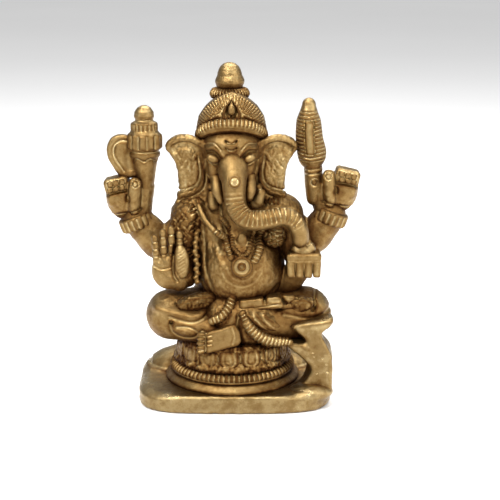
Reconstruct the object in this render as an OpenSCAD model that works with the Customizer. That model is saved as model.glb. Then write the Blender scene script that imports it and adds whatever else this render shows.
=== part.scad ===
// Seated elephant-headed figure with four arms, on a round moulded seat and an oval plinth.
// Millimetres. +Z is up, the figure faces -Y, and the origin is the middle of the underside.
// "Right" and "left" in names are the figure's own right (-X) and left (+X).

/* [Base] */
// Length of the plinth from side to side
plinth_length = 43.8; // [36:0.2:56]
// Depth of the plinth from front to back
plinth_depth = 32; // [31:0.5:42]
// Height of the plinth
plinth_height = 4.2; // [2.5:0.1:7]
// How far the plinth's middle lies towards the figure's left
plinth_shift = 0.6; // [0:0.1:1.5]

/* [Seat] */
// Outer radius of the plain step under the beaded ring
step_radius = 15.4; // [14.6:0.1:18]
// Height of the plain step
step_height = 1.8; // [1:0.1:3]
// Outer radius of the beaded ring
ring_radius = 14.4; // [13.6:0.1:17]
// Height of the beaded ring
ring_height = 2.6; // [1.8:0.1:3.4]
// Radius of the lotus cushion at its top
cushion_radius = 12.4; // [10:0.1:15]
// Height of the lotus cushion
cushion_height = 5.9; // [4.8:0.1:7.5]
// Number of lotus petals round the cushion
petal_count = 16; // [10:1:18]

/* [Body] */
// Height from the seat to the top of the chest
torso_height = 32; // [26:0.5:39]
// Half width of the belly
belly_radius = 10; // [8.2:0.1:12.2]
// Distance between the two shoulder joints
shoulder_span = 19.5; // [16:0.5:24]
// Distance between the two knees
knee_span = 30.2; // [25:0.2:37]
// Radius of the thighs and knees
thigh_radius = 5.7; // [4.7:0.1:6.9]

/* [Head] */
// Width of the skull
head_width = 13.4; // [11:0.2:16.2]
// Distance from one ear's tip to the other's
ear_span = 28.8; // [24:0.2:30]
// Height of the ears
ear_height = 14; // [11.5:0.5:17]
// Diameter of the trunk at its bend
trunk_diameter = 4.4; // [3.6:0.1:5.4]

/* [Crown] */
// Width of the crown's dome
crown_width = 15.8; // [13:0.2:19]
// Height of the dome above the middle of the head
crown_height = 12.6; // [11:0.1:15.2]
// Outer radius of the ring on the dome
crown_ring_radius = 4.4; // [3.6:0.1:5.3]
// Height of the finial on the ring
finial_height = 5.6; // [4:0.1:7]

/* [Arms] */
// Distance between the wrists of the two rear arms
rear_wrist_span = 44; // [36:0.4:54]
// Radius of the rear forearms at the wrist
wrist_radius = 3.2; // [2.6:0.1:3.9]
// Height of the axe above the rear right wrist
axe_height = 25.7; // [21:0.1:31]
// Height of the goad above the rear left wrist
goad_height = 26.4; // [22:0.2:31]

/* [Hidden] */
facets = 10;
round_facets = 72;

// Levels up the figure.
step_z = plinth_height;
ring_z = step_z + step_height;
cushion_z = ring_z + ring_height;
seat_top = cushion_z + cushion_height;
hip_z = seat_top + 5;
neck_z = seat_top + torso_height;
shoulder_z = neck_z - 4.8;
belly_z = seat_top + torso_height * 0.48;
head_z = neck_z + 10.5;

// Anchor points.
belly = [2, -1.5, belly_z];
waist_x = 1.2;
head_at = [0, -1.5, head_z];
right_shoulder = [waist_x - shoulder_span / 2, -0.5, shoulder_z];
left_shoulder = [waist_x + shoulder_span / 2, -0.5, shoulder_z];
right_knee = [waist_x + 0.2 - knee_span / 2, -3.2, hip_z];
left_knee = [waist_x + 0.2 + knee_span / 2, -3.0, hip_z + 0.3];
right_wrist = [-rear_wrist_span / 2 + 0.4, 0.3, shoulder_z - 0.7];
left_wrist = [rear_wrist_span / 2 + 0.4, 0.3, shoulder_z + 0.5];
right_hand = [-13.8, -6.2, shoulder_z - 11];
left_hand = [16, -7.2, shoulder_z - 9.7];
axe_lift = 5.4;
axe_foot = [right_wrist.x + 2.2, 0, right_wrist.z + axe_lift];
blade_drop = 15.9;
goad_lift = 6;
goad_foot = [left_wrist.x - 4, 0, left_wrist.z + goad_lift];
goad_head_length = 15;
crown_edge = [0, 0.5, 3.2];
dome_middle = [0, 1, 3.4];

// Sizes that several pieces share.
far = 120;
belly_size = [belly_radius, belly_radius * 0.93, torso_height * 0.33];
shoulder_radius = 4.8;
neck_radius = 5;
hip_radius = 6;
waist_radius = 6.5;
bracelet_tube = 1.3;
blade_thickness = 2.4;
ear_edge = 1.2;
dome_size = [crown_width / 2, crown_width * 0.47, crown_height - dome_middle.z];
crown_tilt = 30;
crown_band_tube = 1.3;
crown_axis = [-0.4, 2.0];
crown_ring_tube = 1.2;
crown_ring_z = head_z + crown_height - 1.6;
finial_z = crown_ring_z + 2 * crown_ring_tube;

brass = [0.72, 0.56, 0.27];
worn_brass = [0.76, 0.66, 0.40];
dark_brass = [0.56, 0.40, 0.18];

// ---------- shape helpers ----------

module ball(p, r) hull() translate(p) sphere(r = r, $fn = facets);

// A round-ended limb that tapers from radius ra at a to radius rb at b.
module limb(a, ra, b, rb) hull() {
    ball(a, ra);
    ball(b, rb);
}

// Limbs joined end to end through [point, radius] pairs.
module chain(path) for (i = [0 : len(path) - 2])
    limb(path[i][0], path[i][1], path[i + 1][0], path[i + 1][1]);

// An ellipsoid with half sizes s, turned by turn.
module egg(p, s, turn = [0, 0, 0], fn = facets) hull()
    translate(p) rotate(turn) scale(s) sphere(r = 1, $fn = fn);

// A flat shape in the XZ plane, grown to a slab from y_front to y_back.
module upright_slab(y_front, y_back) translate([0, y_back, 0])
    rotate([90, 0, 0]) linear_extrude(y_back - y_front) children();

// A solid disc with a round rim, whose tube runs round at radius from the middle.
module rimmed_disc(radius, tube, ring_facets, tube_facets) rotate_extrude($fn = ring_facets) union() {
    square([radius, 2 * tube]);
    translate([radius, tube]) circle(r = tube, $fn = tube_facets);
}

function superellipse(a, b, power, count) = [
    for (i = [0 : count - 1])
        let (t = 360 * i / count, c = cos(t), s = sin(t))
        [a * sign(c) * pow(abs(c), 2 / power), b * sign(s) * pow(abs(s), 2 / power)]
];

// ---------- base and seat ----------

module plinth() color(worn_brass)
    translate([plinth_shift, 0, 0]) linear_extrude(plinth_height)
        polygon(superellipse(plinth_length / 2, plinth_depth / 2, 4, 48));

module seat_step() color(brass) translate([0, 0, step_z]) seat_step_form();

module seat_step_form() {
    edge = step_height * 0.3;
    rotate_extrude($fn = round_facets) polygon([
        [0, 0], [step_radius, 0], [step_radius, step_height - edge],
        [step_radius - edge, step_height], [0, step_height]
    ]);
}

module beaded_ring() color(brass) translate([0, 0, ring_z]) beaded_ring_form();

module beaded_ring_form() {
    tube = ring_height / 2;
    rimmed_disc(ring_radius - tube, tube, round_facets, 24);
}

module seat_cushion() color(dark_brass) translate([0, 0, cushion_z]) seat_cushion_form();

module seat_cushion_form() {
    foot_radius = min(cushion_radius + 1.1, ring_radius - 0.3);
    lip = cushion_height * 0.1;
    rotate_extrude($fn = round_facets) polygon([
        [0, 0], [foot_radius, 0], [foot_radius - 0.3, cushion_height * 0.2],
        [cushion_radius, cushion_height * 0.6], [cushion_radius, cushion_height - lip],
        [cushion_radius - lip, cushion_height], [0, cushion_height]
    ]);
}

module seat_body() {
    translate([0, 0, step_z]) seat_step_form();
    translate([0, 0, ring_z]) beaded_ring_form();
    translate([0, 0, cushion_z]) seat_cushion_form();
}

module lotus_petals_form() {
    half_width = 0.44 * 2 * PI * cushion_radius / petal_count;
    for (i = [0 : petal_count - 1])
        rotate([0, 0, -4.5 + i * 360 / petal_count])
            egg([0, -cushion_radius - 0.1, cushion_z + cushion_height * 0.46],
                [half_width, 1.1, cushion_height * 0.38], fn = 8);
}

module lotus_petals() color(brass) difference() {
    lotus_petals_form();
    translate([0, 0, cushion_z]) seat_cushion_form();
    translate([0, 0, ring_z]) beaded_ring_form();
}

// ---------- body and legs ----------

// All the space under a level.
module below(level) translate([-far / 2, -far / 2, level - far]) cube(far);

module torso_form() {
    egg(belly, belly_size, fn = 18);
    hull() {
        ball(right_shoulder, shoulder_radius);
        ball(left_shoulder, shoulder_radius);
        ball([waist_x, 1, belly_z], waist_radius);
    }
    hull() {
        ball([waist_x - 6.5, 0.5, hip_z], hip_radius);
        ball([waist_x + 6.5, 0.5, hip_z], hip_radius);
        ball([waist_x, 1, belly_z], waist_radius);
    }
    limb([waist_x, 0, shoulder_z], neck_radius + 0.2, [0, -0.5, neck_z], neck_radius);
}

module torso() color(brass) difference() {
    torso_form();
    below(seat_top);
}

module right_leg_form() {
    limb([waist_x - 5.2, -1, hip_z + 0.2], thigh_radius, right_knee, thigh_radius);
    limb(right_knee, thigh_radius, [waist_x - 5.6, -8.2, hip_z - 2.6], thigh_radius * 0.58);
}

module left_leg_form() {
    limb([waist_x + 5, -1, hip_z + 0.4], thigh_radius, left_knee, thigh_radius + 0.1);
    limb(left_knee, thigh_radius, [waist_x + 4.8, -8.6, hip_z - 1.8], thigh_radius * 0.63);
}

module lap_cloth_form() {
    egg([waist_x + 2.4, -6.5, hip_z - 0.4], [8.4, 5.6, 6.4], fn = 14);
    egg([waist_x - 2.6, -5.8, hip_z], [5, 5.4, 6]);
}

module torso_and_seat() {
    torso_form();
    translate([0, 0, cushion_z]) seat_cushion_form();
    below_seat_core();
}

// The space under the seat's top that legs and cloth may not enter, out to the cushion's edge.
module below_seat_core() translate([0, 0, seat_top - 20]) cylinder(r = cushion_radius, h = 20);

module right_leg() color(brass) difference() {
    right_leg_form();
    torso_and_seat();
}

module left_leg() color(brass) difference() {
    left_leg_form();
    torso_and_seat();
    right_leg_form();
}

module lap_cloth() color(brass) difference() {
    lap_cloth_form();
    below(seat_top);
    torso_and_seat();
    right_leg_form();
    left_leg_form();
}

module legs_and_lap() {
    torso_and_seat();
    right_leg_form();
    left_leg_form();
    difference() {
        lap_cloth_form();
        below(seat_top);
    }
}

// The left foot crosses in front of the lap with its toes towards the figure's right.
module left_foot_form() {
    heel = [waist_x - 1.2, -11.0, seat_top + 2.7];
    hull() {
        ball(heel, 2.0);
        ball([waist_x - 6.6, -11.4, seat_top + 1.9], 1.4);
        ball([waist_x - 6.2, -11.6, seat_top - 0.2], 1.2);
    }
    for (i = [0 : 4])
        limb([waist_x - 6, -11.9, seat_top - 0.9 + i * 0.95], 0.55,
             [waist_x - 8.0 + i * 0.12 - 0.2, -11.6, seat_top - 1.1 + i * 1.0], 0.5);
}

module left_foot() color(brass) difference() {
    left_foot_form();
    legs_and_lap();
    lotus_petals_form();
}

// The right foot rests on the left thigh, sole forward, with its toes at the knee end.
module right_foot_form() {
    limb([waist_x + 0.8, -9.3, hip_z + 4.4], 1.6, [waist_x + 9.4, -8.6, hip_z + 4.8], 1.6);
    for (i = [0 : 3])
        limb([waist_x + 9.4, -8.6, hip_z + 4 + i * 0.6], 0.7,
             [waist_x + 11.4 + i * 0.3, -7.9 + i * 0.1, hip_z + 3.9 + i * 0.75], 0.6);
}

module right_foot() color(brass) difference() {
    right_foot_form();
    legs_and_lap();
}

module sash_path(points, r) chain([for (p = points) [p, r]]);

// It starts inside the body, so that it still comes out of the belly when the body's sizes change.
module right_sash_form() sash_path([
    [waist_x - 1.2, -4.5, hip_z + 5],
    [waist_x - 1.4, -9.2, hip_z + 4.8],
    [waist_x - 3.2, -10.6, hip_z + 3],
    [waist_x - 5.2, -11.2, hip_z + 1.2]
], 0.95);

module left_sash_form() sash_path([
    [waist_x + 1.8, -11.4, hip_z + 1.5],
    [waist_x + 3.6, -12.0, hip_z - 1.0],
    [waist_x + 6.6, -12.2, hip_z - 2.8],
    [waist_x + 11.4, -10.8, hip_z - 4.0]
], 1.15);

module right_sash() color(brass) difference() {
    right_sash_form();
    legs_and_lap();
    left_foot_form();
    right_foot_form();
}

module left_sash() color(brass) difference() {
    left_sash_form();
    legs_and_lap();
    left_foot_form();
}

module right_thigh_drape() color(dark_brass) difference() {
    egg([waist_x - 8.8, -6.8, hip_z + 3.4], [5, 3.2, 2], [-25, -6, 8]);
    legs_and_lap();
    right_sash_form();
}

module left_thigh_drape() color(dark_brass) difference() {
    egg([waist_x + 13.6, -7.0, hip_z + 3.0], [4.6, 2.6, 2.2], [-25, 25, -8]);
    legs_and_lap();
    right_foot_form();
}

// ---------- arms and hands ----------

module right_upper_arm_form() chain([
    [right_shoulder + [-0.6, -2.2, 0], 4],
    [right_shoulder + [-3, -2.6, -7.6], 3.4],
    [right_hand + [3.6, 2.4, -1.6], 2.9]
]);

module left_upper_arm_form() chain([
    [left_shoulder + [-0.4, -2.2, 0], 4],
    [left_shoulder + [3.6, -2.6, -6.4], 3.6],
    [left_hand + [-0.4, 2.6, -0.4], 3]
]);

module right_upper_arm() color(dark_brass) difference() {
    right_upper_arm_form();
    torso_form();
    right_leg_form();
}

module left_upper_arm() color(brass) difference() {
    left_upper_arm_form();
    torso_form();
    left_leg_form();
}

module rear_right_arm_form() chain([
    [right_shoulder + [0.6, 2.4, -1], 4],
    [[(right_shoulder.x + right_wrist.x) / 2 - 0.4, 1.2, shoulder_z - 6.8], 4.1],
    [right_wrist, wrist_radius]
]);

module rear_left_arm_form() chain([
    [left_shoulder + [-0.2, 2.4, -1], 4],
    [[(left_shoulder.x + left_wrist.x) / 2 + 0.8, 1.2, shoulder_z - 5.4], 4.0],
    [left_wrist, wrist_radius]
]);

module arms_front() {
    right_upper_arm_form();
    left_upper_arm_form();
}

module arms_rear() {
    rear_right_arm_form();
    rear_left_arm_form();
}

module rear_right_arm() color(brass) difference() {
    rear_right_arm_form();
    torso_form();
    arms_front();
}

module rear_left_arm() color(brass) difference() {
    rear_left_arm_form();
    torso_form();
    arms_front();
}

// A closed hand seen from its back: knuckles on the outer side and the thumb in front.
module fist_form(p, side) {
    egg(p, [4.1, 3.1, 4.6]);
    for (i = [0 : 2])
        limb(p + [side * (1.2 + i * 0.3), -2.0, 2.7 - i * 1.6], 1.2,
             p + [side * 3.2, -1.2, 2.9 - i * 1.7], 1.15);
    limb(p + [-side * 3.1, -1.9, -2.6], 1.4, p + [-side * 3.6, -1.9, 3.8], 1.5);
}

module rear_right_fist_form() fist_form(right_wrist + [-2.5, -0.3, 5.6], -1);
module rear_left_fist_form() fist_form(left_wrist + [1.8, -0.3, 6.2], 1);

module rear_right_fist() color(brass) difference() {
    rear_right_fist_form();
    rear_right_arm_form();
    rear_right_bracelet_form();
    axe_shaft_form();
}

module rear_left_fist() color(brass) difference() {
    rear_left_fist_form();
    rear_left_arm_form();
    rear_left_bracelet_form();
}

module bracelet_form(p, lean) translate(p) rotate([0, lean, 0])
    translate([0, 0, -bracelet_tube]) rimmed_disc(wrist_radius - 0.2, bracelet_tube, 24, 14);

module rear_right_bracelet_form() bracelet_form(right_wrist + [0.1, 0, -0.6], -22);
module rear_left_bracelet_form() bracelet_form(left_wrist + [-0.2, 0, -0.6], 20);

module rear_right_bracelet() color(brass) difference() {
    rear_right_bracelet_form();
    rear_right_arm_form();
}

module rear_left_bracelet() color(brass) difference() {
    rear_left_bracelet_form();
    rear_left_arm_form();
}

// The open palm, fingers up, with the thumb as a broad pad in front.
module blessing_hand_form() {
    egg(right_hand, [3.9, 2.1, 4.2]);
    limb(right_hand, 2.0, right_hand + [2.2, 1.4, -3], 2.4);
    finger_tops = [8.0, 9.4, 10.3, 9.0];
    for (i = [0 : 3])
        limb(right_hand + [-2.9 + i * 1.75, -0.4, 2.4], 0.95,
             right_hand + [-3.1 + i * 1.9, -0.6, finger_tops[i] - 0.8], 0.8);
    egg(right_hand + [2.6, -1.5, 2.4], [1.7, 1.3, 3.9]);
}

module blessing_hand() color(brass) difference() {
    blessing_hand_form();
    right_upper_arm_form();
    torso_form();
    right_leg_form();
    rear_right_arm_form();
}

// The hand that holds the sweets, with its fingers hanging in front of the cup.
module offering_hand_form() {
    egg(left_hand + [0, 0.2, 0.4], [3.9, 2.9, 2.9]);
    for (i = [0 : 3])
        limb(left_hand + [-2.9 + i * 1.95, -2.2 + abs(i - 1.5) * 0.25, 2.2], 1.0,
             left_hand + [-2.7 + i * 1.9, -2.0 + abs(i - 1.5) * 0.3, -1.6], 0.95);
}

module offering_hand() color(brass) difference() {
    offering_hand_form();
    left_upper_arm_form();
    torso_form();
    left_leg_form();
    rear_left_arm_form();
}

module sweets_form() egg(left_hand + [-0.1, -0.4, 3.8], [2.8, 2.5, 2.5]);

module sweets() color(worn_brass) difference() {
    sweets_form();
    offering_hand_form();
    left_upper_arm_form();
    trunk_form();
    torso_form();
    rear_left_arm_form();
}

// ---------- what the rear hands hold ----------

// The axe's haft: knob, collar, fluted block, double line and a tapering handle.
module axe_shaft_form() {
    top = axe_height - axe_lift;
    translate(axe_foot) rotate_extrude($fn = round_facets) polygon([
        [0, 0], [1.7, 0], [2.9, top - 12.4], [3.4, top - 11.9], [3.4, top - 10.2],
        [3.8, top - 9.6], [3.6, top - 6], [2.9, top - 5.4], [2.9, top - 3.6],
        [2.2, top - 3.2], [2.3, top - 2], [1.9, top - 0.8], [1.1, top - 0.2], [0, top]
    ]);
}

module axe_shaft() color(brass) axe_shaft_form();

module axe_blade() color(brass) difference() {
    mid = [axe_foot.x, axe_foot.z + axe_height - blade_drop];
    half = blade_thickness / 2;
    // [place from the middle of the blade's root, radius]
    corners = [[[-6.0, 1.8], 2.2], [[-6.6, 0.6], 1.9], [[-4.9, -4.2], 0.8], [[-2, 0], 2]];
    hull() for (c = corners)
        upright_slab(-half, half) translate(mid + c[0]) circle(r = c[1], $fn = 24);
    axe_shaft_form();
    rear_right_fist_form();
}

module goad_head_form() {
    top = goad_height - goad_lift;
    hull() {
        translate(goad_foot + [-0.9, 0, top - 1.3]) scale([1, 0.9, 1]) sphere(r = 1.3, $fn = 16);
        translate(goad_foot + [-1, 0, top - 8]) scale([1, 0.62, 1]) sphere(r = 3.0, $fn = 16);
    }
    hull() {
        translate(goad_foot + [-1, 0, top - 8]) scale([1, 0.62, 1]) sphere(r = 3.0, $fn = 16);
        translate(goad_foot + [0.1, 0, top - 13]) scale([1, 0.62, 1]) sphere(r = 3.2, $fn = 16);
    }
}

module goad_head() color(brass) difference() {
    goad_head_form();
    rear_left_fist_form();
}

module goad_handle() color(brass) difference() {
    limb(goad_foot + [0, 0, goad_height - goad_lift - goad_head_length], 1.8,
         goad_foot + [0.3, -0.2, -2.4], 1.6);
    goad_head_form();
    rear_left_fist_form();
    rear_left_arm_form();
}

// ---------- head ----------

module head_form() {
    half = head_width / 2;
    egg(head_at, [half, half, half], fn = 18);
    hull() {
        ball(head_at + [-half * 0.45, -2, -4], half * 0.42);
        ball(head_at + [half * 0.45, -2, -4], half * 0.42);
        ball(head_at + [0.3, -4.6, -3.6], half * 0.46);
    }
    limb(head_at + [0, 0.6, -3], half * 0.78, head_at + [0, 0.6, -9], neck_radius - 0.4);
}

module head() color(brass) difference() {
    head_form();
    torso_form();
}

// [place from the middle of the head, radius as a share of the trunk's diameter]
trunk_path = [
    [[0.3, -5.4, -2.4], 0.70],
    [[0.6, -7.8, -5.6], 0.62],
    [[0.8, -8.9, -9.4], 0.53],
    [[1.7, -9.5, -12.2], 0.51],
    [[4.4, -9.9, -13.8], 0.51],
    [[8.0, -9.9, -13.6], 0.48],
    [[11.2, -9.4, -13.0], 0.46],
    [[13.6, -8.8, -13.9], 0.45],
    [[14.9, -8.2, -16.2], 0.44],
    [[15.2, -7.6, -18.4], 0.43]
];

module trunk_form() chain([for (p = trunk_path) [head_at + p[0], p[1] * trunk_diameter]]);

module trunk() color(brass) difference() {
    trunk_form();
    head_form();
    torso_form();
    arms_front();
    left_ear_form();
}

module trunk_roundel() color(brass) difference() {
    translate(head_at + [0.8, -8.6, -5.6]) rotate([75, 0, 0])
        cylinder(r = trunk_diameter * 0.28, h = 2.6, $fn = 24);
    trunk_form();
    head_form();
}

module right_tusk_form() limb(head_at + [-3.2, -4.9, -6.6], 1.0, head_at + [-1.9, -7.9, -10.4], 0.6);
module left_tusk_form() limb(head_at + [3.5, -5.0, -6.2], 1.0, head_at + [4.3, -7.8, -10.1], 0.75);

module right_tusk() color(brass) difference() {
    right_tusk_form();
    head_form();
    trunk_form();
    torso_form();
}

module left_tusk() color(brass) difference() {
    left_tusk_form();
    head_form();
    trunk_form();
    torso_form();
}

// A fan-shaped ear with a drawn-out upper tip; side is -1 on the figure's right and 1 on its left.
module ear_form(side) {
    tip = ear_span / 2 - 1.1;
    root = head_width / 2 - 1;
    low = head_z + 2.2 - ear_height;
    hull() {
        ball([side * root, -2, head_z + 1.4], ear_edge);
        ball([side * (tip - 4), -0.4, head_z + 1.4], ear_edge);
        ball([side * (tip - 2.6), 0, head_z - 3], ear_edge);
        ball([side * (tip - 2.6), 0, low + 1.4], ear_edge);
        ball([side * root, -1.4, low], ear_edge);
    }
    hull() {
        ball([side * (tip - 4), -0.4, head_z + 1.4], ear_edge);
        ball([side * tip, 0, head_z - 0.2], ear_edge - 0.1);
        ball([side * (tip - 2.6), 0, head_z - 3], ear_edge);
    }
}

module right_ear_form() ear_form(-1);
module left_ear_form() ear_form(1);

module ears_form() {
    right_ear_form();
    left_ear_form();
}

module head_and_body() {
    head_form();
    torso_form();
    arms_front();
    arms_rear();
    crown_cap_form();
    crown_band_form();
}

module right_ear() color(brass) difference() {
    right_ear_form();
    head_and_body();
    axe_shaft_form();
}

module left_ear() color(brass) difference() {
    left_ear_form();
    head_and_body();
    goad_head_form();
}

// A drop that reaches from the neck at neck_x to the ear's root at ear_x.
module ear_drop_form(neck_x, ear_x, half_width) hull() {
    egg(head_at + [neck_x, -2.9, -9.8], [half_width, 2.4, 2.2]);
    egg(head_at + [ear_x, -2.9, -9.8], [half_width, 2.4, 2.2]);
}

module right_ear_drop() color(brass) difference() {
    ear_drop_form(-4.6, 2.1 - head_width / 2, 1.2);
    head_and_body();
    ears_form();
    trunk_form();
    right_tusk_form();
}

module left_ear_drop() color(brass) difference() {
    ear_drop_form(6, head_width / 2 - 0.7, 1.4);
    head_and_body();
    ears_form();
    trunk_form();
    left_tusk_form();
}

// ---------- crown ----------

// The half space below the crown's tilted lower edge.
module below_crown() translate(head_at + crown_edge) rotate([-crown_tilt, 0, 0]) below(0);

module crown_cap_form() difference() {
    egg(head_at + dome_middle, dome_size, fn = 18);
    below_crown();
}

module crown_cap() color(brass) difference() {
    crown_cap_form();
    head_form();
    crown_ring_form();
    crown_band_form();
}

module crown_band_form() translate(head_at + crown_edge) rotate([-crown_tilt, 0, 0])
    translate([0, 0, -crown_band_tube])
        rimmed_disc(dome_size.x + 0.1 - crown_band_tube, crown_band_tube, 32, 16);

module crown_band() color(brass) difference() {
    crown_band_form();
    head_form();
    trunk_form();
}

// The pointed front of the crown, an arch that rises in front of the dome.
module crown_front_form() {
    half = crown_width / 2 - 1;
    rise = crown_height + 1.2;
    intersection() {
        translate([head_at.x, 0, head_z]) upright_slab(-20, head_at.y) polygon([
            [-half, 3], [-half * 0.95, rise * 0.45], [-half * 0.72, rise * 0.68],
            [-half * 0.36, rise * 0.86], [0, rise], [half * 0.36, rise * 0.86],
            [half * 0.72, rise * 0.68], [half * 0.95, rise * 0.45], [half, 3]
        ]);
        egg(head_at + dome_middle, dome_size + [0.6, 0.7, 1.8], fn = 18);
    }
}

module crown_front() color(brass) difference() {
    crown_front_form();
    crown_cap_form();
    crown_band_form();
    crown_ring_form();
    head_form();
    below_crown();
}

module crown_jewel() color(brass) difference() {
    egg(head_at + [0.1, -5.7, 10], [0.95, 1.1, 1.7]);
    crown_front_form();
    crown_cap_form();
}

module crown_ring_form() translate([crown_axis.x, crown_axis.y, crown_ring_z])
    rimmed_disc(crown_ring_radius - crown_ring_tube, crown_ring_tube, round_facets, 24);

module crown_ring() color(brass) crown_ring_form();

module crown_finial() color(brass) {
    r = crown_ring_radius - crown_ring_tube + 0.05;
    translate([crown_axis.x, crown_axis.y, finial_z]) rotate_extrude($fn = round_facets) polygon(concat(
        [[0, 0], [r * 0.9, 0]],
        [for (a = [0 : 15 : 90]) [r * pow(cos(a), 0.8), finial_height * (0.18 + 0.82 * sin(a))]]
    ));
}

// ---------- ornaments ----------

function on_belly(x, z, out) =
    let (u = (x - belly.x) / belly_size.x, w = (z - belly.z) / belly_size.z)
    [x, belly.y - belly_size.y * sqrt(max(0.06, 1 - u * u - w * w)) - out, z];

module necklace_form() chain([
    [[waist_x - 5.4, -7.0, shoulder_z + 0.6], 0.8],
    [on_belly(waist_x - 1.4, belly_z + 7.6, 0.5), 0.7],
    [on_belly(waist_x + 0.8, belly_z + 5.6, 0.3), 0.7],
    [on_belly(waist_x + 3, belly_z + 7.0, 0.5), 0.7],
    [[waist_x + 6.8, -7.2, shoulder_z + 0.2], 0.8]
]);

module sacred_thread_form() chain([
    [[waist_x - 8.0, -5.4, shoulder_z + 1.6], 0.8],
    [[waist_x - 5.6, -7.6, shoulder_z - 2.4], 0.8],
    [on_belly(waist_x - 3, belly_z + 8.4, 0.2), 0.75],
    [on_belly(waist_x - 1.2, belly_z + 4.8, 0.1), 0.75]
]);

module bead_strand_form() chain([
    [right_shoulder + [0.8, -5.6, -4.0], 0.9],
    [right_shoulder + [0.4, -5.9, -9.0], 0.9],
    [right_shoulder + [0.8, -6.2, -14.0], 0.85]
]);

medallion_at = on_belly(waist_x + 1.1, belly_z + 2.6, -0.4);

module medallion_form() translate(medallion_at) rotate([82, 0, 0]) {
    cylinder(r = 2.4, h = 1.1, $fn = 32);
    cylinder(r = 1.0, h = 1.5, $fn = 24);
}

module trunk_and_body() {
    torso_form();
    arms_front();
    trunk_form();
    head_form();
}

module necklace() color(brass) difference() {
    necklace_form();
    trunk_and_body();
}

module sacred_thread() color(brass) difference() {
    sacred_thread_form();
    trunk_and_body();
    necklace_form();
}

module bead_strand() color(brass) difference() {
    bead_strand_form();
    trunk_and_body();
    blessing_hand_form();
    right_leg_form();
}

module medallion() color(brass) difference() {
    medallion_form();
    trunk_and_body();
    necklace_form();
    sacred_thread_form();
}

module chest_rosette() color(brass) difference() {
    egg([waist_x + 8.4, -6.9, shoulder_z - 3.2], [2.6, 2.4, 2.6]);
    trunk_and_body();
    necklace_form();
    sweets_form();
}

// ---------- mouse ----------

// The mouse is a low, worn profile that looks towards the figure's right from the plinth's corner.
module mouse_form() {
    back = plinth_shift + plinth_length / 2 - 2.6;
    foot = plinth_height + 1.2;
    y = -9.4;
    hull() {
        ball([back - 1.0, y + 0.4, foot], 2.2);
        ball([back - 4.2, y - 1.2, foot], 1.8);
        ball([back - 0.6, y + 0.4, seat_top - 6], 2.4);
        ball([back - 3, y - 0.4, seat_top - 6.4], 1.8);
    }
    hull() {
        ball([back - 0.6, y + 0.4, seat_top - 6], 2.4);
        ball([back - 3, y - 0.4, seat_top - 6.4], 1.8);
        ball([back - 2.4, y, seat_top + 1.6], 1.9);
        ball([back - 4, y, seat_top + 0.6], 1.4);
    }
    limb([back - 3, y - 0.6, seat_top - 3], 1.9, [back - 8.2, y - 2.0, seat_top - 0.2], 0.8);
    hull() {
        ball([back - 2.4, y, seat_top + 1.6], 1.9);
        ball([back - 6.8, y - 0.8, seat_top + 3.2], 1.2);
        ball([back + 0.4, y + 0.8, seat_top + 4.6], 1.2);
    }
    limb([back - 3.0, y - 0.4, seat_top + 3.4], 1.6, [back - 7.2, y - 1.0, seat_top + 3.8], 0.9);
}

// The flat facets of this cutter touch the round seat, so what it cuts stays clear of the seat.
module seat_cutter() {
    outward = 1 / cos(180 / round_facets);
    scale([outward, outward, 1]) seat_body();
}

module mouse() color(worn_brass) difference() {
    mouse_form();
    seat_cutter();
    below(plinth_height);
    left_leg_form();
    lap_cloth_form();
    left_sash_form();
}

// ---------- what is drawn ----------

plinth();
seat_step();
beaded_ring();
seat_cushion();
lotus_petals();
torso();
right_leg();
left_leg();
lap_cloth();
left_foot();
right_foot();
right_sash();
left_sash();
right_thigh_drape();
left_thigh_drape();
right_upper_arm();
left_upper_arm();
blessing_hand();
offering_hand();
sweets();
rear_right_arm();
rear_left_arm();
rear_right_fist();
rear_left_fist();
rear_right_bracelet();
rear_left_bracelet();
axe_shaft();
axe_blade();
goad_head();
goad_handle();
head();
trunk();
trunk_roundel();
right_tusk();
left_tusk();
right_ear();
left_ear();
right_ear_drop();
left_ear_drop();
crown_cap();
crown_band();
crown_front();
crown_jewel();
crown_ring();
crown_finial();
necklace();
sacred_thread();
bead_strand();
medallion();
chest_rosette();
mouse();
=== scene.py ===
"""A small cast brass idol: a seated elephant-headed figure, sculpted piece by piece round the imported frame.

Every piece is shaped as a signed distance field in millimetres, turned into a mesh and set in metres.
"Right" and "left" in names are the figure's own: its right is towards -X, and it faces -Y.
"""
import math
from collections import namedtuple

import bpy
import numpy as np
from mathutils import Euler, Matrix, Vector


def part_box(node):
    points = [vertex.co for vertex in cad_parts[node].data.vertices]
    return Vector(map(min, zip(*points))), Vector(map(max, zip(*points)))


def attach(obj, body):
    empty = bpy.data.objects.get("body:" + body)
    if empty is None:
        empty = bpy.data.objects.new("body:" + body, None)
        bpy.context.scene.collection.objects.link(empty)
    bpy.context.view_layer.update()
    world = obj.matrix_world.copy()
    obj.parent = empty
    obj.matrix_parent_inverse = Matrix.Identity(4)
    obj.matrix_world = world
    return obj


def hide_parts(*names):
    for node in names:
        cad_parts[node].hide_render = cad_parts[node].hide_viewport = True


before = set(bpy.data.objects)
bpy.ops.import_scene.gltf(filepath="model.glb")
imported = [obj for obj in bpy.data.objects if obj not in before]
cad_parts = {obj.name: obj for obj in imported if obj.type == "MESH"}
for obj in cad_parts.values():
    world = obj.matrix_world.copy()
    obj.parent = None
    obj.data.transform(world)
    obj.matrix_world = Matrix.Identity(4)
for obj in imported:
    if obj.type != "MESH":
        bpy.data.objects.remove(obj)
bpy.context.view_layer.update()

MM = 0.001
FINE = 0.16             # usual spacing of a piece's grid
COARSE = 0.22           # the same for large plain pieces
FAR = 2.0               # distance given to cells that no shape reaches
TINY = 1e-6             # keeps divisions from zero
SEED = 11
BEND_REACH = 0.32       # how far round a point its curvature is measured
BEND_SCALE = 0.12       # the bend that counts as fully dark or bright
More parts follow.
